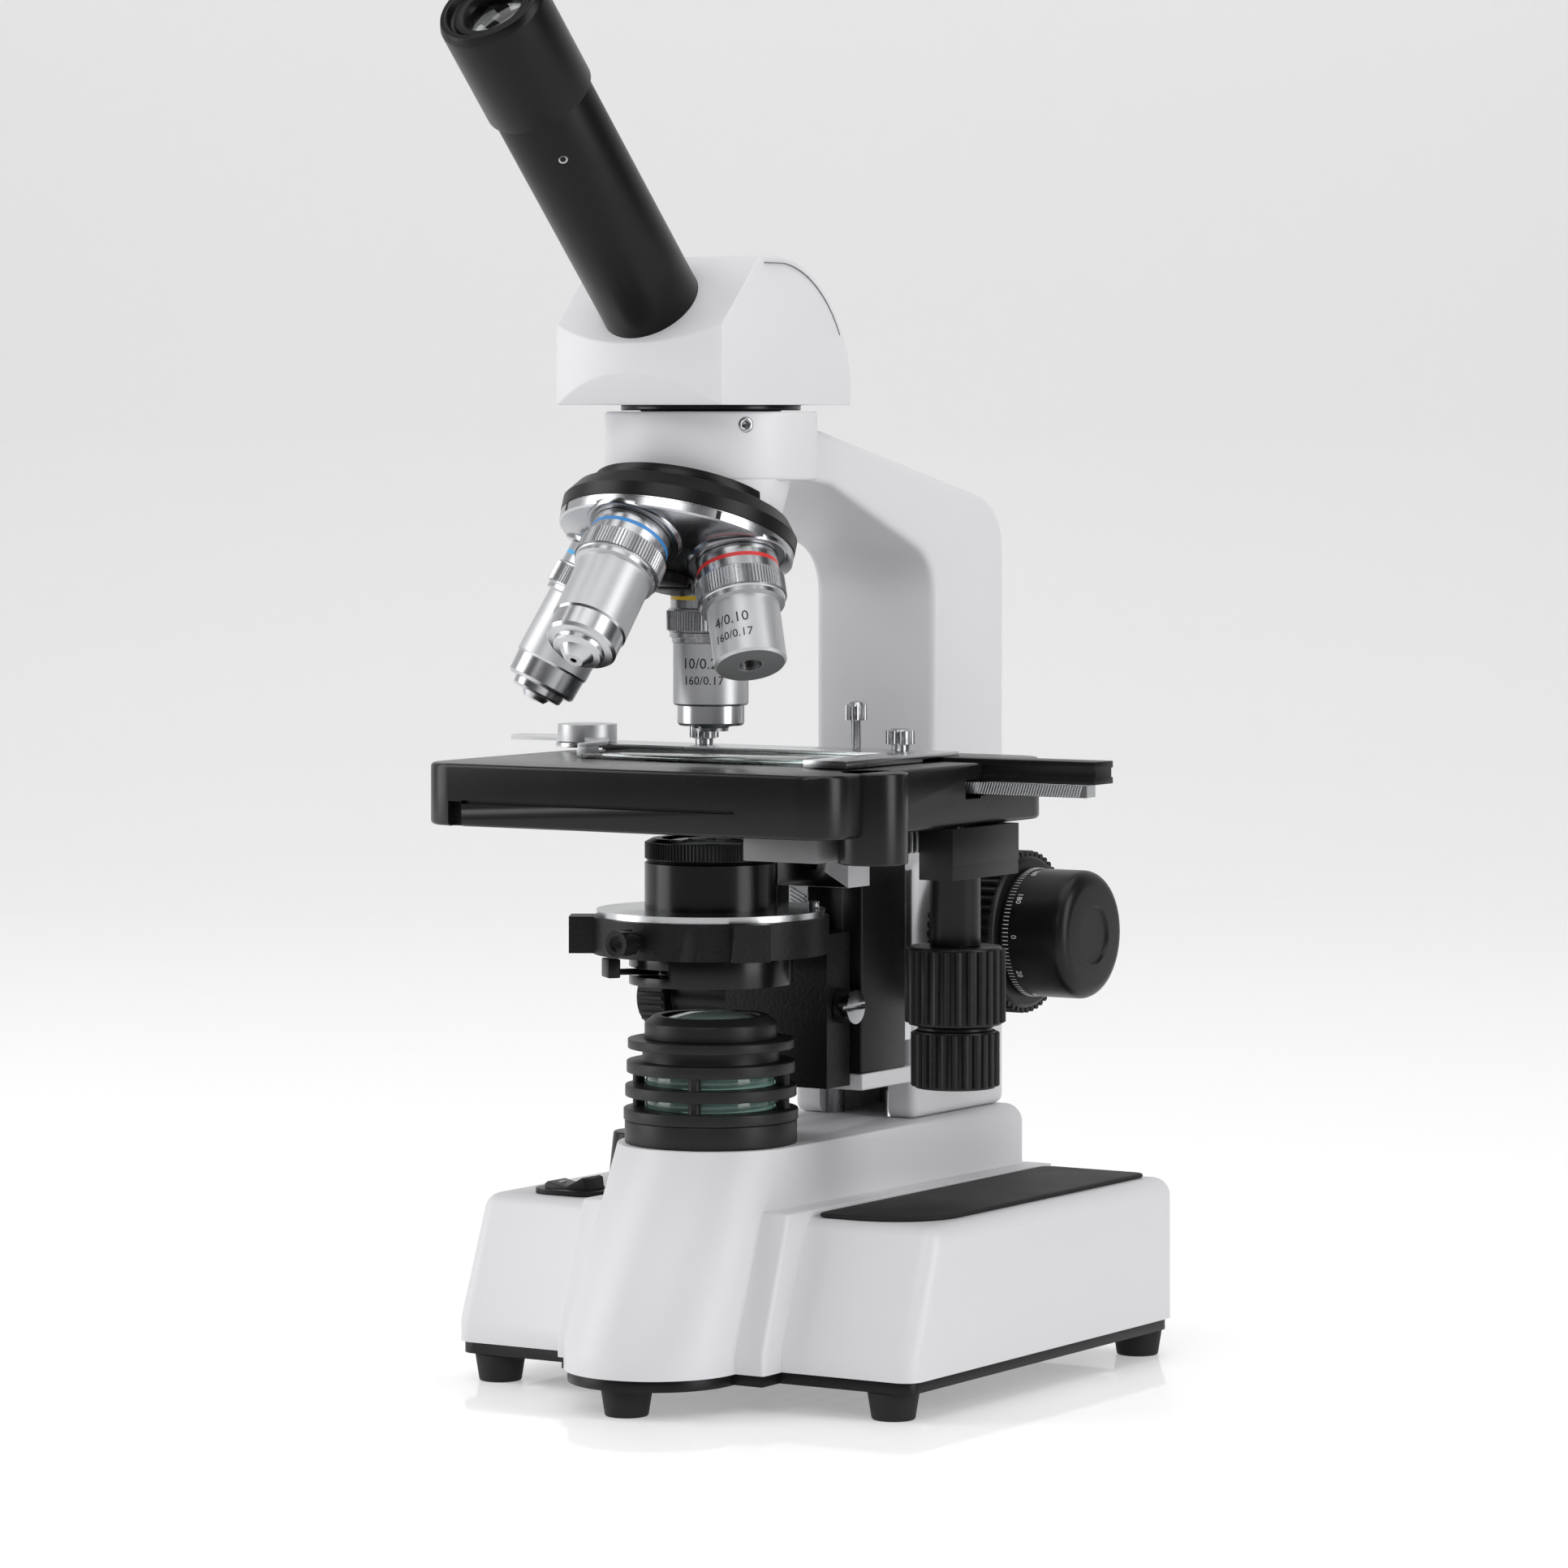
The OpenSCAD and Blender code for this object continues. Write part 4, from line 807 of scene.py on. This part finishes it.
class MICRO_OT_eyepiece(Maker, bpy.types.Operator):
    """Eyepiece tube and eyepiece with its lenses"""
    bl_idname = "micro.eyepiece"
    bl_label = "Eyepiece"

    def build(self):
        m = tube_frame()
        bm = lathe(rounded([(11.65, -6), (13.15, -6), (13.15, 72), (11.65, 72)], 0.3), m, 128)
        screw = m @ turned(-58) @ shift(0, 0, 60.5) @ RX90
        joined(bm, lathe([(0, 12.95), (0.8, 12.95), (0.8, 13.15), (1.15, 13.3), (1.15, 12.4), (0, 12.4)], screw, 20,
                         [1]))
        finish_piece("ocular_tube", bm, ["tube_black", "knurl_metal"], "head", ["eyepiece_tube"])
        top = 103.5
        prof = rounded([(11.6, 46), (11.6, 72.3), (14.25, 72.3), (14.25, top - 2.2), (13.4, top - 0.2),
                        (11.8, top - 0.2), (11.4, top - 2.2),
                        (10.6, top - 2.6), (10.2, top - 1.7), (8.2, top - 1.9), (7, top - 3.6), (7, 82), (10.4, 82),
                        (10.4, 46)], 0.25, 2)
        bm = lathe(prof, m, 128)
        joined(bm, lathe([(0, 96.4), (7.05, 96.4), (7.05, 98.6), (5, 99.3), (2.5, 99.6), (0, 99.7)], m, 64, [1]))
        joined(bm, lathe([(0, 48), (10.45, 48), (10.45, 50.5), (0, 51.2)], m, 64, [1]))
        finish_piece("ocular", bm, ["tube_black", "glass"], "ocular", ["eyepiece"], 28)


class MICRO_OT_nosepiece(Maker, bpy.types.Operator):
    """Turning nosepiece with its grip ring"""
    bl_idname = "micro.nosepiece"
    bl_label = "Nosepiece"

    def build(self):
        m = turret_frame()
        sr, sz, t = SHOULDER * math.sin(LEAN), -SHOULDER * math.cos(LEAN), math.tan(LEAN)
        prof = [(4.1, -38.05), (27.4, -38.05), (28.2, -38.4), (31, -42.2), (31, -45.6), (30.6, -45.8), (30.6, -46.1),
                (30.9, -46.3),
                (30.9, -48.4), (30.4, -48.9), (sr + 4, sz + 4 * t), (sr, sz), (8, sz - (sr - 8) * t),
                (4.1, sz - (sr - 8) * t)]
        # edges 9 to 12, the lower cone under the bright chrome rim, take the darker chrome copy as painted shade
        kinds = [0, 0, 0, 0, 0, 1, 1, 1, 1, 2, 2, 2, 2, 0]
        bm = lathe(prof, m, 128, kinds)
        bm = cut(bm, [cylinder(10.0, -24, 12, objective_frame(k), 64) for k in range(4)])
        for k in range(4):
            click = m @ turned(90 * k + 52) @ shift(30.2, 0, -47.2)
            joined(bm, box(click, 0.0016, 0.0012, 0.0022))
        for k in range(4):
            # the seat collars take the darker chrome copy, painted shade under the nosepiece
            collar = lathe(rounded([(10.0, 0.15), (12.6, 0.15), (13.2, 1.6), (10.0, 1.6)], 0.2), objective_frame(k),
                           64, [2])
            joined(bm, collar)
        finish_piece("nosepiece_turret", bm, ["black_satin", "chrome", "dark_chrome_and_painted_shade"], "nosepiece",
                     ["nosepiece_disc"], 24)


# shoulder, band and knurl of every objective: radius, height, material of the edge that ends there
LENS_TOP = [(10.6, 0), (10.6, -2.4, 1), (10.6, -3.5, 3), (10.6, -4.2, 1), (10.6, -5.6, 1), (11.2, -6.0, 0),
            (11.2, -11.9, 0),
            (10.9, -12.2, 1), (10.9, -13.4, 1)]
LENSES = {
    # place on the turret, turn of the figures, band, figures, outline below the knurl, height of the front lens
    "10x": (0, 20, "yellow_band", ("10/0.25", "160/0.17"), [
        (10.3, -13.6, 1), (10.3, -14.6, 1), (9.9, -14.9, 2), (9.9, -30.7, 2), (9.6, -31.1, 1), (8.8, -31.3, 1),
        (8.8, -35.8, 1),
        (8.3, -36.5, 1), (5.2, -36.6, 1), (4.7, -37.2, 1), (4.6, -38.0, 1), (2.4, -38.1, 1), (2.4, -34.6, 1)], -34.4),
    "4x": (3, 94, "red_band", ("4/0.10", "160/0.17"), [
        (9.4, -13.8, 2), (9.4, -29.2, 2), (8.8, -29.9, 2), (3.4, -30.0, 2), (3.0, -29.8, 2), (3.0, -28.7, 0)], -28.6),
    "40x": (2, 32, "blue_band", ("40/0.65", "160/0.17"), [
        (9.9, -13.8, 2), (9.9, -30.6, 2), (9.5, -31.2, 1), (9.5, -36.2, 1), (8.8, -37.0, 1), (6.9, -37.4, 1),
        (6.7, -38.5, 1), (6.2, -38.9, 1),
        (4.6, -39.2, 1), (2.9, -41.2, 1), (2.4, -41.5, 1), (0.9, -41.5, 1), (0.9, -36.2, 1)], -36.0),
    "100x": (1, 122, "sky_band", ("100/1.25", "160/0.17"), [
        (9.9, -13.8, 2), (9.9, -31.0, 2), (9.5, -31.6, 1), (9.3, -36.8, 1), (8.6, -37.6, 1), (7.0, -37.8, 1),
        (6.8, -39.4, 1), (6.2, -39.9, 1),
        (3.8, -40.0, 1), (2.9, -41.3, 1), (1.0, -41.5, 1), (1.0, -36.8, 1)], -36.6),
}


class MICRO_OT_objectives(Maker, bpy.types.Operator):
    """The four objectives with knurls, bands, figures and front lenses"""
    bl_idname = "micro.objectives"
    bl_label = "Objectives"

    def build(self):
        for label, (k, turn, band, figures, below, seat) in LENSES.items():
            m = objective_frame(k)
            outline = LENS_TOP + below
            prof = [(p[0], p[1]) for p in outline]
            kinds = [p[2] if len(p) > 2 else 1 for p in outline[1:]] + [1]
            prof += [(7.0, seat), (7.0, 4.4), (10.0, 4.4), (10.0, 0)]
            kinds += [1, 1, 1, 1]
            bm = lathe(prof, m, 96, kinds[:len(prof)])
            joined(bm, ribs(m, shape().knurls, 11.25, 0.42, -11.5, -6.4, 0, 6, 1.0, "knurl_metal"))
            joined(bm, lathe([(0, seat + 1.2), (6.95, seat + 1.2), (6.95, seat), (0, seat - 0.3)], m, 48, [4]))
            for j, text in enumerate(figures):
                at = m @ turned(turn) @ shift(0, 0, -20.2 - 4.4 * j)
                radius = 9.4 if label == "4x" else 9.9
                joined(bm, lettering(text, (4.0 if j == 0 else 3.2) * MM, at, radius * MM, 0.00002, 5))
            finish_piece("lens_" + label, bm, ["knurl_metal", "chrome", "satin_metal", band, "glass", "ink"],
                         "nosepiece", ["objective_" + label], 26)


class MICRO_OT_stage(Maker, bpy.types.Operator):
    """Stage plates, rail, slide holder, thumbscrews, finger and slide"""
    bl_idname = "micro.stage"
    bl_label = "Mechanical stage"

    def build(self):
        plan = []
        for cx, cy, a0 in ((57.9, -41.9, -90), (57.9, 51.9, 0), (-47.9, 51.9, 90), (-47.9, -41.9, 180)):
            plan += arc(cx, cy, 10, 10, range(a0, a0 + 91, 9))
        bm = solid_from(plan, 150.3, 166.5, "Z")
        bm = bevelled(bm, 0.0011, 3, 40)

        def block(x0, x1, y0, y1, z0, z1):
            return box(place((x0 + x1) / 2, (y0 + y1) / 2, (z0 + z1) / 2), (x1 - x0) * MM, (y1 - y0) * MM,
                       (z1 - z0) * MM)

        bm = cut(bm, [cylinder(17, 140, 170, place(0, -1, 0), 96), block(-19, 19, -35, 31, 149, 156.2),
                      block(-70, 90, 24.9, 35.1, 161.5, 170),
                      block(-70, 90, 23.9, 30.5, 157.9, 162.9), block(-47.6, -43.4, -54, -49.0, 149, 156.8),
                      block(-43.4, 40.2, -54, -50.6, 156.2, 157.1),
                      cylinder(2.4, 140, 159, place(DRIVE_X, DRIVE_Y, 0), 48),
                      cylinder(6.7, 157.3, 162.4, place(DRIVE_X, DRIVE_Y, 0), 48)])
        bar = lathe(rounded([(0, 143.2), (8.95, 143.2), (8.95, 166.5), (0, 166.5)], 0.8, 3), place(66, -27, 0), 64)
        finish_piece("stage_top", joined(bm, bar), ["stage_black"], "stage", ["stage_plate"], 30)
        softened("drive_housing", "drive_bracket", "black_satin", "stage")
        softened("stage_base_plate", "stage_under_plate", "stage_grey", "carriage", 0.0004)
        bm = bevelled(node_mesh("stage_bracket"), 0.0003, 2, 42)
        screw = pt(11, 0, 137.5)
        for f in bm.faces:
            c = f.calc_center_median()
            if math.hypot(c.x - screw.x, c.z - screw.z) < 0.0041 and c.y < pt(0, 36.6, 0).y:
                f.material_index = 1
        finish_piece("stage_support", bm, ["body_paint", "black_gloss"], "carriage", ["stage_bracket"], 32)
        bm = bevelled(node_mesh("stage_rail"), 0.0002, 2, 40)
        finish_piece("cross_rail", bm, ["black_satin"], "slide_carrier", ["stage_rail"])
        bm = rack_bar("stage_x_rack", 0.0008, 0.32)
        finish_piece("cross_rack", bm, ["plate_metal"], "slide_carrier", ["stage_x_rack"])
        softened("slide_holder", "holder_plate", "plate_metal", "slide_carrier", 0.0003, 2)
        softened("slide_finger", "spring_finger", "satin_metal", "finger", 0.0006, 3)
        softened("glass_slide", "specimen_slide", "slide_glass", "slide_carrier", 0.0001)
        bm = bmesh.new()
        m = place(25.7, 31, 168.7)
        lathe(rounded([(0, 0), (1.25, 0), (1.25, 7.4), (2.6, 7.5), (2.6, 11.4), (1.8, 12.3), (0, 12.6)], 0.2), m, 32,
              bm=bm)
        for i in range(12):
            z = 0.3 + 0.58 * i
            lathe([(1.2, z), (1.42, z + 0.25), (1.2, z + 0.5)], m, 20, bm=bm)
        joined(bm, ribs(m, 14, 2.6, 0.36, 7.6, 11.6, 0, 8, 0.9, "chrome"))
        for x in (40.8, -20.4):
            m = place(x, 28.5, 168.7)
            lathe(rounded([(0, 0), (2.4, 0), (2.4, 1.5), (3.5, 1.7), (3.5, 5.2), (2.4, 5.8), (0, 5.9)], 0.2), m, 40,
                  bm=bm)
            joined(bm, ribs(m, 18, 3.5, 0.42, 1.8, 5.3, 0, 8, 0.92, "chrome"))
        finish_piece("holder_screws", bm, ["chrome"], "slide_carrier", ["thumbscrews"])


def rack_bar(node, pitch, slant, upright=False):
    """A bar with fine slanted teeth on its front face, as long as the CAD rack."""
    lo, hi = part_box(node)
    lo, hi = Vector(lo), Vector(hi)
    mid = (lo + hi) / 2
    size = hi - lo
    face = lo.y + 0.0007
    bar = box(Matrix.Translation((mid.x, (face + hi.y) / 2, mid.z)), size.x, hi.y - face, size.z)
    bm = bevelled(bar, 0.00015, 1)
    long, short = (size.z, size.x) if upright else (size.x, size.z)
    count = int((long - 0.002) / pitch)
    if upright:
        m = Matrix.Translation((mid.x, face, lo.z + 0.001)) @ turned(-90, "Y")
    else:
        m = Matrix.Translation((lo.x + 0.001, face, mid.z))
    teeth = grown(bar_row_tree(), {"Count": count, "Pitch": pitch, "Size": (pitch * 0.45, 0.0008, short * 0.93),
                                   "Slant": slant,
                                   "Material": mat("knurl_metal")}, m, 0)
    return joined(bm, teeth)


def ribbed_knob(m, profile, count, r, width, z0, z1, n=96, sides=8):
    bm = lathe(rounded(profile, 0.5, 3), m, n)
    return joined(bm, ribs(m, count, r, width, z0, z1, 0, sides))


class MICRO_OT_stage_drive(Maker, bpy.types.Operator):
    """The two coaxial knobs that move the stage"""
    bl_idname = "micro.stage_drive"
    bl_label = "Stage knobs"

    def build(self):
        m = place(DRIVE_X, DRIVE_Y, 0)
        n = shape().stage_ribs
        sleeve = lathe([(2.06, 119), (3.4, 119), (3.4, 149.3), (2.06, 149.3)], m, 48, [1])
        body = ribbed_knob(m, [(2.1, 98.7), (12.2, 98.7), (12.2, 119), (2.1, 119)], n, 12.15, 1.0, 99.4, 118.3)
        joined(body, sleeve)
        teeth = grown(rib_ring_tree(), {"Count": 12, "Radius": 4.5 * MM, "Width": 0.9 * MM, "Height": 5.4 * MM,
                                        "Sides": 6,
                                        "Taper": 1.0, "Material": mat("knurl_metal")},
                      m @ shift(0, 0, 143.9), 1)
        joined(body, teeth)
        finish_piece("forward_knob", body, ["knob_plastic", "knurl_metal"], "stage_y_drive", ["stage_y_knob"])
        body = ribbed_knob(m, [(0, 82.3), (10.6, 82.3), (10.6, 97.2), (9.8, 97.3), (9.8, 98.4), (0, 98.4)], n - 2,
                           10.6, 0.95, 82.9, 96.7)
        joined(body, lathe([(0, 98.3), (1.98, 98.3), (1.98, 162), (0, 162)], m, 32, [1]))
        finish_piece("cross_knob", body, ["knob_plastic", "knurl_metal"], "stage_x_drive", ["stage_x_knob"])


class MICRO_OT_focus(Maker, bpy.types.Operator):
    """Coarse and fine knobs, carriage and its shelf"""
    bl_idname = "micro.focus"
    bl_label = "Focus drive"

    def build(self):
        coarse, fine = bmesh.new(), bmesh.new()
        for flip in (False, True):
            s = -1 if flip else 1
            m = along_x(22 * s, FOCUS_Y, FOCUS_Z, flip)
            joined(coarse, ribbed_knob(m, [(5.02, 0), (19.8, 0), (21.2, 1.4), (21.2, 19), (19.8, 20.4), (5.02, 20.4)],
                                       shape().coarse_ribs, 21.1, 0.95, 0.8, 19.6, 120))
            m = along_x(42.7 * s, FOCUS_Y, FOCUS_Z, flip)
            prof = [(3.02, 0), (17.3, 0), (17.3, 12.5)] + arc(13.4, 15.6, 3.9, 3.9, range(0, 91, 10)) + [(8, 19.6),
                    (7.4, 19.0), (0, 19.0), (0, 16), (3.02, 16)]
            joined(fine, lathe(prof, m, 128))
            joined(fine, grown(rib_ring_tree(), {"Count": 100, "Radius": 17.3 * MM, "Width": 0.13 * MM,
                                                 "Height": 1.7 * MM, "Sides": 4,
                                                 "Taper": 1.0, "Material": mat("white_ink")},
                               m @ shift(0, 0, 0.9), 1))
            for k in range(10):
                at = m @ turned(36 * k) @ shift(0, 0, 4.3)
                joined(fine, lettering(str(20 * k), 2.3 * MM, at, 17.3 * MM, 0.00002, 1))
        finish_piece("coarse_focus_knobs", coarse, ["knob_plastic"], "coarse_drive", ["coarse_knobs"], 30)
        finish_piece("fine_focus_knobs", fine, ["knob_plastic", "white_ink"], "fine_drive", ["fine_knobs"], 30)
        softened("focus_carriage", "carriage_block", "black_satin", "carriage", 0.0006, 3)
        softened("carriage_foot", "carriage_shelf", "body_paint", "carriage", 0.0005, 3)


class MICRO_OT_condenser(Maker, bpy.types.Operator):
    """Condenser, holder, iris and drive"""
    bl_idname = "micro.condenser"
    bl_label = "Condenser"

    def build(self):
        softened("condenser_holder", "condenser_carrier", "cast_black", "condenser", 0.0006, 3)
        o = place(0, 0, 0)
        prof = [(13, 116), (24, 116), (24, 125.7), (30.0, 125.7), (30.05, 127.4), (17.4, 127.5), (17.4, 139.6),
                (16.6, 140.2), (17.0, 140.6),
                (17.0, 145.2), (15.4, 146), (13, 146)]
        kinds = [2, 2, 0, 0, 0, 1, 1, 1, 3, 1, 1, 2]
        bm = lathe(prof, o, 128, kinds)
        joined(bm, ribs(o, 110, 17.05, 0.3, 140.8, 145.0, 3, 6, 1.0, "black_satin"))
        pin = place(0, 0, 127.4) @ turned(32) @ shift(27, 0, 0)
        joined(bm, lathe(rounded([(0, 0), (1.5, 0), (1.5, 1.9), (0, 2.2)], 0.3), pin, 24, [0]))
        finish_piece("condenser_unit", bm, ["plate_metal", "black_gloss", "black_satin", "black_satin"], "condenser",
                     ["condenser_body"], 28)
        bm = bmesh.new()
        for a, r0 in ((-39, 33.6), (-150, 36.6)):
            m = place(0, 0, SCREW_Z) @ turned(a) @ RX90
            joined(bm, lathe([(0, r0 - 6), (2.3, r0 - 6), (2.3, r0 + 0.25), (1.5, r0 + 0.35), (1.2, r0 - 1.2),
                              (0, r0 - 1.2)], m, 24))
        m = place(0, 0, SCREW_Z) @ turned(-95) @ RX90
        joined(bm, lathe(rounded([(0, 29), (2.05, 29), (2.05, 33), (2.7, 33.2), (3.3, 39.6), (2.4, 40), (0, 40)],
                                 0.3), m, 32, [1]))
        joined(bm, ribs(m, 12, 2.9, 0.5, 33.6, 39.4, 1, 6))
        finish_piece("centring_screws", bm, ["dark_chrome_and_painted_shade", "knob_plastic"], "condenser")
        softened("iris_housing", "iris_ring", "black_gloss", "condenser", 0.0005, 3)
        softened("iris_lever", "iris_handle", "black_satin", "iris", 0.0004)
        m = along_x(-44, 39, 99.5)
        bm = ribbed_knob(m, [(0, 0), (7.9, 0), (7.9, 9), (4.5, 9), (4.5, 27), (2.52, 27), (2.52, 8), (0, 8)], 24, 7.9,
                         0.55, 0.6, 8.4, 64)
        finish_piece("condenser_grip", bm, ["knob_plastic"], "condenser_drive", ["condenser_knob"])
        softened("condenser_shaft", "condenser_spindle", "dark_chrome_and_painted_shade", "condenser_drive", 0.0002)
        bm = rack_bar("condenser_rack", 0.0011, 0.45, True)
        finish_piece("condenser_teeth", bm, ["plate_metal"], "carriage", ["condenser_rack"])


CAD_FINISH = {
    "base_screws": "knurl_metal", "dimmer_pot": "plate_metal", "led_board": "board", "led_emitter": "led",
    "driver_board": "board",
    "focus_bushes": "brass", "coarse_shaft": "plate_metal", "focus_pinion": "brass", "fine_shaft": "plate_metal",
    "focus_rack": "plate_metal", "stage_y_rack": "plate_metal", "condenser_lens": "glass",
}


class MICRO_OT_inner(Maker, bpy.types.Operator):
    """Finishes of the CAD nodes that stay: shafts, racks, boards and lenses"""
    bl_idname = "micro.inner"
    bl_label = "Inner parts"

    def build(self):
        for node, name in CAD_FINISH.items():
            me = NODES[node].data
            me.materials.clear()
            me.materials.append(mat(name))


class MICRO_OT_set(Maker, bpy.types.Operator):
    """Pale floor, soft lights and the camera"""
    bl_idname = "micro.set"
    bl_label = "Stage and camera"

    def build(self):
        scene = bpy.context.scene
        bm = bmesh.new()
        rows = []
        path = [(-4.0, 0.0), (1.6, 0.0)]
        path += [(1.6 + 0.9 * math.sin(math.radians(a)), 0.9 - 0.9 * math.cos(math.radians(a))) for a in range(10, 91,
                                                                                                               10)]
        path += [(2.5, 4.0)]
        back = turned(32)
        for y, z in path:
            rows.append([bm.verts.new(back @ Vector((x, y, z))) for x in (-6, 6)])
        for a, b in zip(rows, rows[1:]):
            bm.faces.new((a[0], a[1], b[1], b[0]))
        floor = temp_object(bm, "floor")
        for f in floor.data.polygons:
            f.use_smooth = True
        paper = make("paper", (0.72, 0.72, 0.725), 0.5, 0.02, 60, 0, 0.004, Coat_Weight=0.5, Coat_Roughness=0.06,
                     Emission_Color=(1, 1, 1, 1), Emission_Strength=0.4)
        floor.data.materials.append(paper)
        world = bpy.data.worlds.new("studio")
        world.use_nodes = True
        n, l = world.node_tree.nodes, world.node_tree.links
        tc = n.new("ShaderNodeTexCoord")
        split = n.new("ShaderNodeSeparateXYZ")
        ramp = n.new("ShaderNodeMapRange")
        put(ramp, From_Min=0.05, From_Max=0.8, To_Min=0.12, To_Max=0.8)
        wire(l, tc, "Generated", split, 0)
        wire(l, split, "Z", ramp, "Value")
        l.new(ramp.outputs["Result"], n["Background"].inputs["Strength"])
        scene.world = world
        for name, x, y, z, w, h, power in (
                ("left_soft", -1.25, -0.75, 0.75, 0.9, 1.8, 18), ("right_soft", 1.75, 0.1, 0.7, 0.8, 1.8, 20),
                ("front_soft", 0.6, -1.9, 1.5, 1.6, 0.9, 17), ("top_soft", 0.1, -0.1, 1.7, 1.6, 1.6, 14)):
            la = bpy.data.lights.new(name, "AREA")
            la.shape = "RECTANGLE"
            la.size, la.size_y, la.energy = w, h, power
            ob = bpy.data.objects.new(name, la)
            ob.location = (x, y, z)
            ob.rotation_euler = (Vector((0, 0, 0.17)) - Vector((x, y, z))).to_track_quat("-Z", "Y").to_euler()
            scene.collection.objects.link(ob)
        cam = bpy.data.cameras.new("camera")
        cam.lens = shape().lens
        cam.sensor_width = 36
        cam.shift_y = -0.2334
        ob = bpy.data.objects.new("camera", cam)
        ob.location = pt(873.14, -1361.15, 256)
        ob.rotation_euler = (math.radians(90), 0, math.radians(32))
        scene.collection.objects.link(ob)
        scene.camera = ob
        scene.view_settings.view_transform = "Standard"


class MICRO_PT_panel(bpy.types.Panel):
    """Lists the pieces of the microscope"""
    bl_idname = "MICRO_PT_panel"
    bl_label = "Microscope"
    bl_space_type = "VIEW_3D"
    bl_region_type = "UI"
    bl_category = "Microscope"

    def draw(self, context):
        col = self.layout.column()
        for op in OPERATORS:
            col.operator(op.bl_idname)
        for group in (context.scene.micro_finish, context.scene.micro_shape):
            for key in group.bl_rna.properties.keys():
                if key not in {"rna_type", "name"}:
                    col.prop(group, key)


OPERATORS = (MICRO_OT_set, MICRO_OT_base, MICRO_OT_controls, MICRO_OT_lamp, MICRO_OT_arm, MICRO_OT_head,
             MICRO_OT_eyepiece,
             MICRO_OT_nosepiece, MICRO_OT_objectives, MICRO_OT_stage, MICRO_OT_stage_drive, MICRO_OT_focus,
             MICRO_OT_condenser,
             MICRO_OT_inner)
CLASSES = (MICRO_PG_finish, MICRO_PG_shape, *OPERATORS, MICRO_PT_panel)


def register():
    for c in CLASSES:
        bpy.utils.register_class(c)
    bpy.types.Scene.micro_finish = PointerProperty(type=MICRO_PG_finish)
    bpy.types.Scene.micro_shape = PointerProperty(type=MICRO_PG_shape)


def unregister():
    del bpy.types.Scene.micro_shape
    del bpy.types.Scene.micro_finish
    for c in reversed(CLASSES):
        bpy.utils.unregister_class(c)


def main():
    register()
    for op in OPERATORS:
        getattr(bpy.ops.micro, op.bl_idname.split(".")[1])()
    bpy.context.view_layer.update()


if __name__ == "__main__":
    main()
